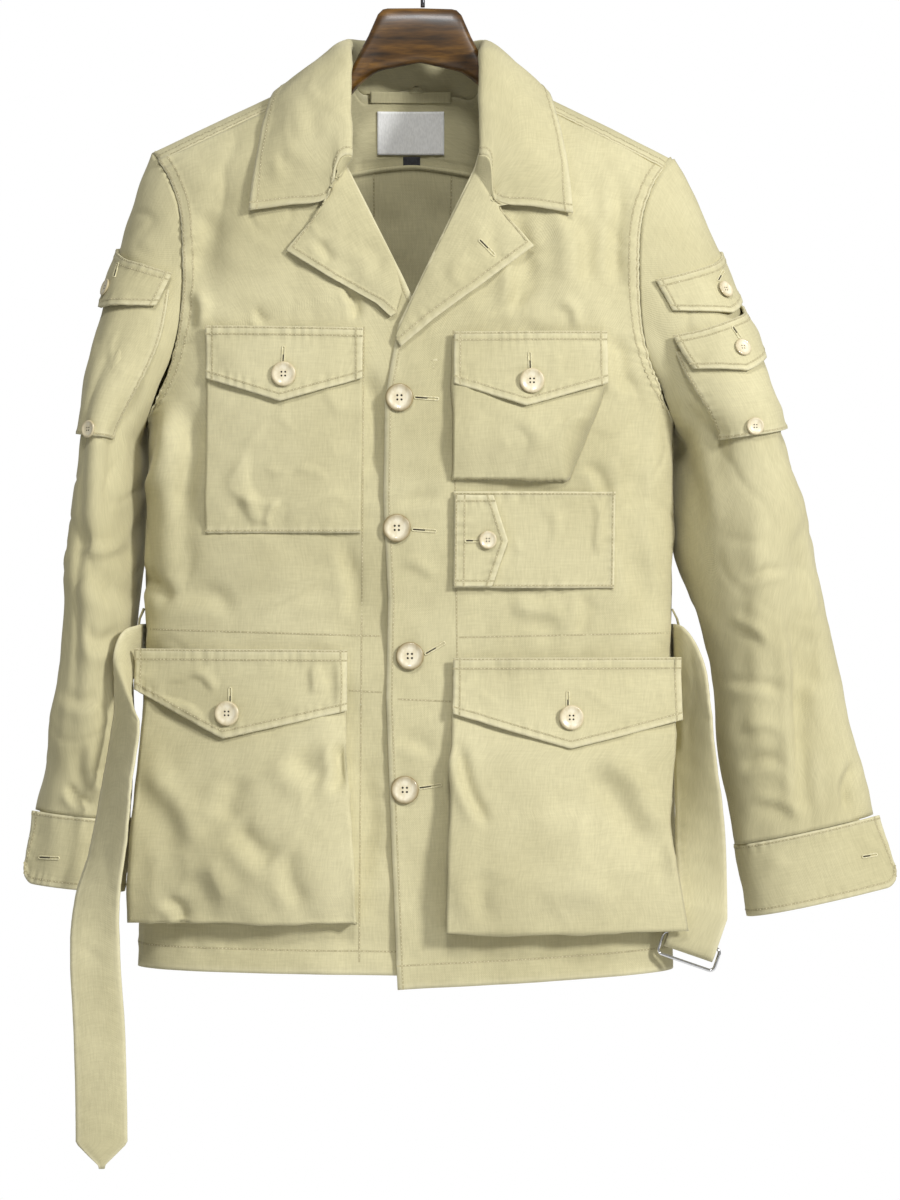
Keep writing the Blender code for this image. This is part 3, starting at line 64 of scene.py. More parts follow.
# Torso form
SECTION_POWER = 2.8
DOME_POWER = 2.2
DOME_BASE = -0.340
RIDGE_REACH, RIDGE_Z, RIDGE_SLOPE, RIDGE_ROUND = 0.1213, -0.1407, 0.485, 0.020
HANG_TILT = 0.012
SHOULDER_SEAM_DROP = 0.013
NECK_HALF, NECK_SHIFT = 0.0665, 0.0040
COLLAR_MIDDLE, COLLAR_FOLD_RADIUS = -0.0055, 0.0034
UNDERARM_Z = -0.415
LAP_LIFT = 0.0016
LAP_HALF, LAP_FADE = 0.046, 0.020
LAP_TOP, LAP_TOP_FADE = -0.250, 0.060
FOLD_END = 0.25
ROW_STEPS, NORMAL_STEP = 160, 0.0004
SHOULDER_EASE_POWER = 8
SIDE_CROWD, ARM_CROWD = 1.3, 1.15

# Belt and buckle
BELT_WIDTH, BELT_Z, BELT_LIFT = 0.042, -0.600, 0.0032
BUCKLE_TILT = 19.0
BUCKLE_AXIS = (0.2225, -0.047, -0.8390)
BELT_END_Y, BELT_POINT, BELT_POINT_WIDTH = 0.001, 0.021, 0.10
FOLD_RADIUS, FOLD_DROP, FOLD_RISE, FOLD_TUCK = 0.0046, 0.0065, 0.026, 0.9
LOOP_HALF_HEIGHT, LOOP_HALF_WIDTH, LOOP_BOW, LOOP_STEPS = 0.034, 0.004, 0.0074, 9
RING_WIRE, RING_OFFSET = 0.0012, 0.0017
RING_WIDTH, RING_HEIGHT, RING_CORNER = 0.0490, 0.0190, 0.0040

# Hanger and hook
HANGER_UNDER_RIDGE, HANGER_END, HANGER_MIDDLE = 0.0030, 0.196, -0.0025
ARM_HEIGHT, ARM_HALF_DEPTH = 0.024, 0.0115
ARM_FROM, ARM_FADE = 0.066, 0.020
ARM_END, ARM_END_ROUND = 0.014, 0.0145
HANGER_SQUARENESS = 0.8
HOOK_WIRE, HOOK_INNER = 0.0018, 0.019


def table(columns, *rows):
    """A short table with named columns, each column an array."""
    return dict(zip(columns.split(), np.array(rows, dtype=float).T))


def table_of(columns, *rows):
    """A short table with named columns, each row a dictionary."""
    return [dict(zip(columns.split(), row)) for row in rows]


TORSO = table(
    "z half_width middle front_depth back_depth",
    (-0.890, 0.2245, -0.0130, 0.069, 0.062),
    (-0.720, 0.2225, -0.0125, 0.071, 0.063),
    (-0.590, 0.2190, -0.0120, 0.064, 0.056),
    (-0.500, 0.2200, -0.0110, 0.064, 0.058),
    (-0.415, 0.2200, -0.0100, 0.066, 0.060),
    (-0.300, 0.2240, -0.0095, 0.064, 0.060),
    (-0.190, 0.2240, -0.0090, 0.064, 0.060),
    (-0.060, 0.2240, -0.0090, 0.064, 0.060),
)

# Soft folds of the body cloth: a line from one place to another, its half width and its height
FRONT_FOLDS = table(
    "x_from z_from x_to z_to width height",
    (-0.196, -0.360, -0.204, -0.580, 0.012, 0.0060),
    (-0.180, -0.380, -0.186, -0.560, 0.010, -0.0045),
    (0.188, -0.370, 0.200, -0.590, 0.010, -0.0060),
    (0.172, -0.400, 0.176, -0.590, 0.011, 0.0040),
    (0.150, -0.190, 0.166, -0.330, 0.012, -0.0045),
    (-0.150, -0.190, -0.172, -0.320, 0.012, -0.0040),
    (0.120, -0.200, 0.128, -0.320, 0.010, 0.0030),
)
BACK_FOLDS = table(
    "x_from z_from x_to z_to width height",
    (-0.170, -0.300, -0.176, -0.560, 0.014, -0.0060),
    (0.168, -0.300, 0.180, -0.560, 0.014, -0.0060),
    (-0.110, -0.360, -0.104, -0.570, 0.016, 0.0040),
    (0.112, -0.340, 0.104, -0.570, 0.016, 0.0040),
    (-0.120, -0.640, -0.130, -0.850, 0.018, -0.0050),
    (0.090, -0.640, 0.110, -0.850, 0.018, -0.0050),
    (0.000, -0.640, -0.010, -0.850, 0.016, 0.0040),
)
PLEAT_HALF, PLEAT_EDGE, PLEAT_HEIGHT = 0.033, 0.004, 0.003
PLEAT_END, PLEAT_END_FADE, PLEAT_TOP, PLEAT_TOP_FADE = -0.570, 0.060, -0.200, 0.040

# Armhole edges from the shoulder tip down to the underarm
ARMHOLE_FRONT = table(
    "x z",
    (0.2175, -0.1882), (0.2100, -0.1976), (0.2000, -0.2140), (0.1905, -0.2430), (0.1880, -0.2810),
    (0.1895, -0.3250), (0.1965, -0.3600), (0.2075, -0.3880), (0.2165, -0.4080), (0.2200, -0.4150),
)
ARMHOLE_BACK = table(
    "x z",
    (0.2175, -0.1882), (0.2105, -0.1990), (0.2045, -0.2170), (0.1985, -0.2450), (0.1960, -0.2850),
    (0.1975, -0.3280), (0.2030, -0.3620), (0.2110, -0.3900), (0.2175, -0.4085), (0.2200, -0.4150),
)
ARMHOLE_KNOTS = np.linspace(0, 1, len(ARMHOLE_FRONT["x"]))
SHOULDER_SEAM_KNOT, YOKE_KNOT = ARMHOLE_KNOTS[1], ARMHOLE_KNOTS[3]
YOKE_CROWN, YOKE_CROWN_POWER = 0.053, 1.5

# Front edges, lapel roll lines and neck edges, from the hem up
FRONT_EDGE = {
    RIGHT: table(
        "z x",
        (-0.8665, 0.034), (-0.4200, 0.034), (-0.3520, 0.020), (-0.2965, -0.005), (-0.2006, -0.0535),
        (-0.1600, -0.0570), (-0.1265, -0.0625),
    ),
    LEFT: table(
        "z x",
        (-0.8775, -0.007), (-0.7230, -0.0136), (-0.6410, -0.0170), (-0.5590, -0.0160), (-0.4770, -0.0210),
        (-0.3950, -0.0205), (-0.3620, -0.0150), (-0.3340, -0.0100), (-0.2047, 0.0515), (-0.1600, 0.0640),
        (-0.1305, 0.0705),
    ),
}
HEM = {RIGHT: (-0.8665, -0.8630), LEFT: (-0.8775, -0.8655)}
BACK_HEM = -0.8640

# Neck seam as places over the shoulder: turn 0 is the back, 90 the shoulder ridge and 180 the front
NECK = table("x turn", (0.0, 57.0), (0.032, 59.0), (0.053, 67.0), (0.0615, 84.0), (NECK_HALF, 109.0))

# Collar, from the middle of the back to the front end
COLLAR = table(
    "along neck_x neck_turn fold_x fold_y fold_z edge_x edge_turn lift",
    (0.00, 0.000, 57.0, 0.000, 0.0490, -0.0868, 0.000, 41.0, 0.0045),
    (0.22, 0.028, 58.5, 0.032, 0.0430, -0.0873, 0.045, 46.5, 0.0048),
    (0.42, 0.053, 67.0, 0.0525, 0.0200, -0.0918, 0.086, 61.5, 0.0050),
    (0.56, 0.0625, 84.0, 0.0550, -0.0020, -0.0975, 0.110, 92.0, 0.0048),
    (0.68, 0.0660, 103.0, 0.0545, -0.0270, -0.1118, 0.118, 112.0, 0.0050),
    (0.82, 0.0610, 124.0, 0.0535, -0.0500, -0.1470, 0.126, 132.0, 0.0065),
    (1.00, 0.0570, 142.0, 0.0520, -0.0640, -0.1960, 0.1320, 151.5, 0.0065),
)
COLLAR_NOTCH, NOTCH_LIFT = (0.0700, -0.2320), 0.0060
NOTCH_FROM, NOTCH_RUN = 0.86, 0.14
STAND_IN, STAND_LIFT = 0.0025, 0.0030
FALL_SHARES = np.array([0.30, 0.65])
FALL_BULGE_OUT, FALL_BULGE_UP = 0.0040, 0.0012

# Lapels, from the gorge down to the break: the roll line and the outer edge
LAPEL_ROLL, LAPEL_FULL_WIDTH = 0.0030, 0.040
LAPEL_ROLL_POWER, LAPEL_EDGE_LIFT = 0.8, 0.0008
LAPEL = {
    RIGHT: table(
        "along roll_x roll_z edge_x edge_z",
        (0.00, -0.0540, -0.2030, -0.0720, -0.2360), (0.28, -0.0350, -0.2400, -0.1020, -0.2727),
        (0.55, -0.0140, -0.2800, -0.0640, -0.2960), (0.82, -0.0075, -0.3060, -0.0280, -0.3160),
        (1.00, -0.0120, -0.3240, -0.0160, -0.3270),
    ),
    LEFT: table(
        "along roll_x roll_z edge_x edge_z",
        (0.00, 0.0510, -0.2070, 0.0705, -0.2370), (0.28, 0.0380, -0.2350, 0.1010, -0.2686),
        (0.55, 0.0190, -0.2750, 0.0600, -0.2990), (0.80, 0.0020, -0.3100, 0.0190, -0.3290),
        (1.00, -0.0125, -0.3440, -0.0080, -0.3520),
    ),
}

# Sleeves below the cap, in the frame; twist turns the flat of the tube, tilt lifts its outer side
SLEEVE_CAP = 0.45
SLEEVE = {
    RIGHT: table(
        "along x y z half_width half_depth twist tilt",
        (0.45, -0.2550, 0.004, -0.430, 0.0225, 0.074, 12.0, 6.0),
        (0.61, -0.2630, 0.002, -0.520, 0.0255, 0.069, 11.0, 6.0),
        (0.755, -0.2695, 0.000, -0.600, 0.0255, 0.060, 8.0, 6.0),
        (0.865, -0.2740, -0.004, -0.660, 0.0325, 0.053, 7.0, 6.0),
        (1.00, -0.2835, -0.006, -0.737, 0.0400, 0.040, 6.0, 6.0),
    ),
    LEFT: table(
        "along x y z half_width half_depth twist tilt",
        (0.45, 0.2550, 0.004, -0.430, 0.0380, 0.070, 20.0, 10.0),
        (0.61, 0.2690, 0.002, -0.520, 0.0500, 0.067, 26.0, 10.0),
        (0.755, 0.2905, 0.000, -0.600, 0.0510, 0.050, 14.0, 11.0),
        (0.865, 0.2995, -0.004, -0.660, 0.0560, 0.044, 8.0, 12.0),
        (1.00, 0.3180, -0.006, -0.750, 0.0595, 0.036, 6.0, 12.0),
    ),
}
SLEEVE_BULGE = {RIGHT: 0.046, LEFT: 0.066}
SLEEVE_POWER = 2.2
CAP_STEP, CAP_OUTER = 0.01, 0.5
SEARCH_END, SEARCH_STEPS = 0.6, 121

# Soft folds of the sleeves: around is a share of the way round from the outer side over the front
SLEEVE_FOLDS = {
    RIGHT: table(
        "around_from along_from around_to along_to width height",
        (0.20, 0.10, 0.22, 0.95, 0.035, -0.0045), (0.36, 0.12, 0.34, 0.60, 0.035, -0.0050),
        (0.12, 0.50, 0.10, 0.97, 0.035, 0.0040), (0.75, 0.30, 0.78, 0.90, 0.050, -0.0050),
    ),
    LEFT: table(
        "around_from along_from around_to along_to width height",
        (0.20, 0.55, 0.22, 0.97, 0.035, -0.0055), (0.31, 0.50, 0.33, 0.95, 0.035, 0.0040),
        (0.40, 0.12, 0.38, 0.50, 0.035, -0.0050), (0.75, 0.30, 0.78, 0.90, 0.050, -0.0050),
    ),
}

# Cuffs: open bands below the sleeves, the buttonhole end reaching past the sleeve's outer side
CUFF_HEIGHT, CUFF_CORNER, CUFF_FLARE = 0.060, 0.012, 0.05
CUFF_FROM, CUFF_TO = 62.0, 298.0
CUFF_FRONT_REACH = {RIGHT: 0.019, LEFT: 0.032}
CUFF_BACK_REACH = 0.024

# Pockets on the fronts: flat ones by sides, top and bottom, and lift at the sides and the middle
BREAST_POCKET_RIGHT = {"x": (-0.1665, -0.0395), "z": (-0.3430, -0.5040), "lift": (0.0022, 0.0060)}
SMALL_POCKET = {"x": (0.0365, 0.1690), "z": (-0.4700, -0.5490), "lift": (0.0022, 0.0045)}

# Bellows pockets from the bottom up: sewn edges, the front wall's edges and its lift
BREAST_POCKET_LEFT = table(
    "z sewn_left wall_left wall_right sewn_right lift",
    (-0.4590, 0.0345, 0.0360, 0.1250, 0.1300, 0.0060),
    (-0.4280, 0.0345, 0.0360, 0.1215, 0.1440, 0.0120),
    (-0.3850, 0.0345, 0.0360, 0.1520, 0.1590, 0.0060),
    (-0.3460, 0.0345, 0.0360, 0.1600, 0.1610, 0.0022),
)
LOWER_POCKET = {
    RIGHT: table(
        "z sewn_left wall_left wall_right sewn_right lift",
        (-0.8230, -0.2060, -0.2260, -0.0400, -0.0410, 0.0130),
        (-0.7900, -0.2060, -0.2240, -0.0410, -0.0430, 0.0190),
        (-0.7200, -0.2060, -0.2200, -0.0470, -0.0490, 0.0150),
        (-0.6570, -0.2060, -0.2160, -0.0510, -0.0520, 0.0070),
        (-0.6140, -0.2060, -0.2130, -0.0510, -0.0520, 0.0030),
    ),
    LEFT: table(
        "z sewn_left wall_left wall_right sewn_right lift",
        (-0.8300, 0.0330, 0.0320, 0.2270, 0.1960, 0.0180),
        (-0.7900, 0.0340, 0.0330, 0.2190, 0.1960, 0.0210),
        (-0.7560, 0.0345, 0.0345, 0.2130, 0.1980, 0.0180),
        (-0.6600, 0.0365, 0.0370, 0.2190, 0.2050, 0.0080),
        (-0.6210, 0.0365, 0.0370, 0.2150, 0.2050, 0.0030),
    ),
}
POCKET_FLAT_HALF, POCKET_SIDE_TURN = 0.165, 0.25
POCKET_TOP_SWELL = 0.15
BELLOWS_BELLY, BELLOWS_DROP = 0.0025, 0.0015
LOWER_SEWN_LIFT, BREAST_SEWN_LIFT = 0.0011, 0.0014
FLAP_OVER = DOUBLED_CLOTH + 0.0009

# Flaps on the fronts: sides, heights of the top and of the two lower corners, and the point
FLAPS = {
    "breast_flap_right": dict(
        x=(-0.1662, -0.0390), top=(-0.3340, -0.3365), corner=(-0.3770, -0.3775), point=(-0.1055, -0.3965),
    ),
    "breast_flap_left": dict(
        x=(0.0355, 0.1600), top=(-0.3400, -0.3385), corner=(-0.3818, -0.3810), point=(0.0940, -0.4005),
    ),
    "lower_flap_right": dict(
        x=(-0.2230, -0.0495), top=(-0.5990, -0.6000), corner=(-0.6330, -0.6500), point=(-0.1480, -0.6729),
    ),
    "lower_flap_left": dict(
        x=(0.0375, 0.2240), top=(-0.6065, -0.6065), corner=(-0.6524, -0.6580), point=(0.1316, -0.6811),
    ),
}
SMALL_FLAP = dict(x=(0.0375, 0.0685), point=0.0810, z=(-0.4730, -0.5480))

# Pockets and flaps on the sleeves: front edge round at the top and bottom, back edge round, heights at
# the front and back edges, the flaps' points as share round and height, and their lift at top and bottom
FLAP_LIFT_RUN = 0.6
SLEEVE_PATCH_LIFT = CLOTH + 0.0020
SLEEVE_FLAP_LIFT = SLEEVE_PATCH_LIFT + DOUBLED_CLOTH + 3 * PIECE_GAP
SLEEVE_PATCH = {
    RIGHT: dict(front=(0.235, 0.360), back=-0.10, top=(-0.304, -0.290), bottom=(-0.4262, -0.4190)),
    LEFT: dict(front=(0.285, 0.380), back=-0.10, top=(-0.355, -0.335), bottom=(-0.4280, -0.4100)),
}
SLEEVE_FLAPS = {
    "sleeve_flap_right": dict(
        side=RIGHT, front=(0.222, 0.233), back=-0.07, top=(-0.2905, -0.258), bottom=(-0.3179, -0.306),
        point=(0.100, -0.3195), lift=(0.0037, SLEEVE_FLAP_LIFT),
    ),
    "sleeve_flap_left_upper": dict(
        side=LEFT, front=(0.223, 0.238), back=-0.05, top=(-0.2955, -0.262), bottom=(-0.3212, -0.298),
        point=(0.140, -0.3228), lift=(0.0030, 0.0033),
    ),
    "sleeve_flap_left_lower": dict(
        side=LEFT, front=(0.267, 0.290), back=-0.04, top=(-0.3419, -0.307), bottom=(-0.3692, -0.342),
        point=(0.210, -0.3725), lift=(0.0037, SLEEVE_FLAP_LIFT),
    ),
}


def curved(share, start, leave, end, arrive):
    """Place at a share of the way along a smooth curve between two ends, with its directions there."""
    near = (1 + 2 * share) * (1 - share) ** 2 * start + share * (1 - share) ** 2 * leave
    far = share * share * (3 - 2 * share) * end + share * share * (share - 1) * arrive
    return near + far


def squared(wave, power):
    """A wave made squarer, its sign kept, for the section of a rounded bar or tube."""
    return np.sign(wave) * np.abs(wave) ** power


def through(knots, values, at):
    """Smooth curve through the values at rising knots."""
    values = np.asarray(values, dtype=float)
    slopes = np.gradient(values, knots, axis=0)
    at = np.clip(np.asarray(at, dtype=float), knots[0], knots[-1])
    cell = np.clip(np.searchsorted(knots, at, side="right") - 1, 0, len(knots) - 2)
    width = np.asarray(knots[cell + 1] - knots[cell])
    share = (at - knots[cell]) / width
    if values.ndim == 2:
        share, width = share[..., None], width[..., None]
    return curved(share, values[cell], width * slopes[cell], values[cell + 1], width * slopes[cell + 1])


def smooth(share):
    share = np.clip(share, 0.0, 1.0)
    return share * share * (3 - 2 * share)


def mix(start, end, share):
    return start + (end - start) * share


def rounded(share, power):
    """Falls from 1 to 0 along a quarter of a rounded square."""
    return (1 - np.clip(share, 0.0, 1.0) ** power) ** (1 / power)


def points(x, y, z):
    return np.stack(np.broadcast_arrays(x, y, z), axis=-1).astype(float)


def run_along(path):
    """Distance along a path to each of its points."""
    return np.concatenate([[0.0], np.cumsum(np.linalg.norm(np.diff(path, axis=0), axis=1))])


def evenly(path, count, crowd=1.0):
    """The same path with evenly spaced points, or points crowded towards its end."""
    run = run_along(path)
    at = run[-1] * (1 - (1 - np.linspace(0, 1, count)) ** crowd)
    return np.stack([np.interp(at, run, path[:, axis]) for axis in range(path.shape[1])], axis=-1)


def finer(path, count):
    """A smooth path through the given points."""
    run = run_along(path)
    return through(run, path, np.linspace(0, run[-1], count))


def unit(vectors):
    return vectors / np.linalg.norm(vectors, axis=-1, keepdims=True)


def lifted(surface, a, b, lift, outward):
    """Points of a surface moved out along its normal."""
    a, b, lift = np.broadcast_arrays(a, b, lift)
    along_a = surface(a + NORMAL_STEP, b) - surface(a - NORMAL_STEP, b)
    along_b = surface(a, b + NORMAL_STEP) - surface(a, b - NORMAL_STEP)
    normal = unit(np.cross(along_a, along_b)) * outward
    return surface(a, b) + normal * lift[..., None]


def fold_height(folds, columns, a, b):
    """Height of the soft folds at places a, b; columns name the two ends of each fold's line."""
    total = np.zeros(np.broadcast(a, b).shape)
    ends = [folds[name] for name in columns]
    for a0, b0, a1, b1, width, height in zip(*ends, folds["width"], folds["height"]):
        run = np.hypot(a1 - a0, b1 - b0)
        da, db = (a1 - a0) / run, (b1 - b0) / run
        along = ((a - a0) * da + (b - b0) * db) / run
        aside = (a - a0) * db - (b - b0) * da
        ends_fade = smooth(along / FOLD_END) * smooth((1 - along) / FOLD_END)
        total = total + height * np.exp(-((aside / width) ** 2)) * ends_fade
    return total


# Cloth with creases, sewn edges and stitches

FIRST_ROW, LAST_ROW, FIRST_COLUMN, LAST_COLUMN = (0, 0), (0, -1), (1, 0), (1, -1)
BAND_HEIGHT, BAND_FADE = 0.0005, 0.0025
PUCKER_STRENGTH, PUCKER_PITCH, PUCKER_REACH = 1.9, 0.0088, 0.0055
PUCKER_SWAYS = ((1.8, 0.0071, 1.0), (1.1, 0.0163, 2.1))
PUCKER_SIZE, PUCKER_SIZE_SWAY, PUCKER_SIZE_PITCH, PUCKER_SIZE_SEED = 0.65, 0.35, 0.0119, 3.7
RIPPLE_WAVES, RIPPLE_SPREAD = 14, (0.7, 1.5)
RIPPLE_LARGE, RIPPLE_LARGE_SIZE = 0.00080, 0.085
RIPPLE_SMALL, RIPPLE_SMALL_SIZE = 0.00028, 0.026
WRINKLE_HEIGHT, WRINKLE_SIZE, WRINKLE_SHARP = 0.0011, 0.060, 0.40
WRINKLE_PATCH, WRINKLE_COVER, WRINKLE_EDGE = 0.150, 0.4, 0.020
CREASE_STRENGTH, CREASE_END = 2.0, 0.3
CREASE_BOW, CREASE_BOW_WAVES, CREASE_BOW_SHIFT = 0.35, 2.2, 40
TROUGH_SHARE, TROUGH_AWAY = 0.5, 1.6
CREASE_TURN, CREASE_TURN_FADE = 0.15, 0.5
WEAR_REACH, WEAR_EVEN, WEAR_UNEVEN = 0.0030, 0.75, 0.25
SIDE_SEAM_FADE, STITCHED_ABOVE = 0.030, 0.3
STITCH_PITCH, STITCH_LENGTH, STITCH_HALF, STITCH_RISE = 0.0031, 0.0022, 0.00038, 0.00032
# Half width and rise of the painted shade strip under each stitch line: a dark band that stands for the
# shadow of a groove too fine for the mesh
SHADE_STRIP_HALF, SHADE_STRIP_RISE = 0.0007, 0.00010

# Pieces with hardly a ripple, pieces that lie under others and words in the names of those that lie over
NECK_TRIMS = ("hanging_loop", "neck_label", "size_tab")
QUIET_PIECES, QUIET_SHARE = ("yoke", *NECK_TRIMS), 0.15
UNDER_PIECES = ("front_right", "front_left", "sleeve_right", "sleeve_left")
OVER_WORDS, OVER_FLOOR = ("breast", "small", "sleeve_pocket", "flap"), -0.0003

# The cloth stays plain near the buckle, where the rings swing, and the pieces behind it give way
BUCKLE_CLEAR, BUCKLE_DIP = 0.042, 0.0024
BEHIND_BUCKLE = ("front_left", "back")

# Edges that reach under the next piece, as a seam allowance does: how far and how deep
TUCK_REACH, TUCK_DEPTH = 0.0032, 0.0018
COLLAR_TUCK = 0.0070
TUCK = (TUCK_REACH, TUCK_DEPTH)
TUCKS = {
    "collar": ((FIRST_COLUMN, COLLAR_TUCK, 0.0),),
    "back": ((LAST_ROW, *TUCK), (FIRST_COLUMN, *TUCK), (LAST_COLUMN, *TUCK)),
    "front": ((LAST_ROW, *TUCK),),
    "sleeve_right": ((FIRST_ROW, *TUCK),),
    "sleeve_left": ((FIRST_ROW, *TUCK),),
}

# Sewn edges by kind of piece: edge, rows of stitches in from it, height of its puckers
SEWING = {
    "front": ((FIRST_ROW, (0.0195,), 0.0003), (FIRST_COLUMN, (0.0045,), 0.0002),
              (LAST_COLUMN, (0.0020, 0.0090), 0.0007)),
    "back": ((FIRST_ROW, (0.0195,), 0.0003),),
    "yoke": ((FIRST_COLUMN, (0.0020, 0.0080), 0.0004), (LAST_COLUMN, (0.0020, 0.0075), 0.0003)),
    "collar": ((LAST_COLUMN, (0.0065,), 0.0003), (FIRST_ROW, (0.0065,), 0.0002),
               (LAST_ROW, (0.0065,), 0.0002)),
    "lapel": ((LAST_COLUMN, (0.0065,), 0.0003),),
    "cuff": ((FIRST_ROW, (0.0025,), 0.0003), (LAST_ROW, (0.0050,), 0.0003),
             (FIRST_COLUMN, (0.0050,), 0.0002)),
    "sleeve_flap": ((FIRST_ROW, (0.0012, 0.0065), 0.0003), (LAST_ROW, (0.0050,), 0.0003),
                    (FIRST_COLUMN, (0.0050,), 0.0002)),
    "sleeve_pocket": ((LAST_ROW, (0.0020,), 0.0004), (FIRST_COLUMN, (0.0020,), 0.0003)),
    "breast_pocket": ((LAST_ROW, (0.0020,), 0.0002),),
    "small_pocket": ((FIRST_ROW, (0.0020,), 0.0004), (LAST_ROW, (0.0020,), 0.0004),
                     (LAST_COLUMN, (0.0020,), 0.0003)),
    "breast_flap": ((FIRST_ROW, (0.0012, 0.0068), 0.0003), (LAST_ROW, (0.0060,), 0.0003),
                    (FIRST_COLUMN, (0.0055,), 0.0002), (LAST_COLUMN, (0.0055,), 0.0002)),
    "lower_flap": ((FIRST_ROW, (0.0012, 0.0088), 0.0003), (LAST_ROW, (0.0060,), 0.0004),
                   (FIRST_COLUMN, (0.0055,), 0.0002), (LAST_COLUMN, (0.0055,), 0.0002)),
    "small_flap": ((FIRST_COLUMN, (0.0012, 0.0080), 0.0003), (LAST_COLUMN, (0.0050,), 0.0003),
                   (FIRST_ROW, (0.0050,), 0.0002), (LAST_ROW, (0.0050,), 0.0002)),
    "belt": ((FIRST_COLUMN, (0.0045,), 0.0002), (LAST_COLUMN, (0.0045,), 0.0002)),
}

# Creases that show, those of the front from the photo: a line in the frame's x and z, half width, height

def creases(*rows):
    return table("x_from z_from x_to z_to width height", *rows)


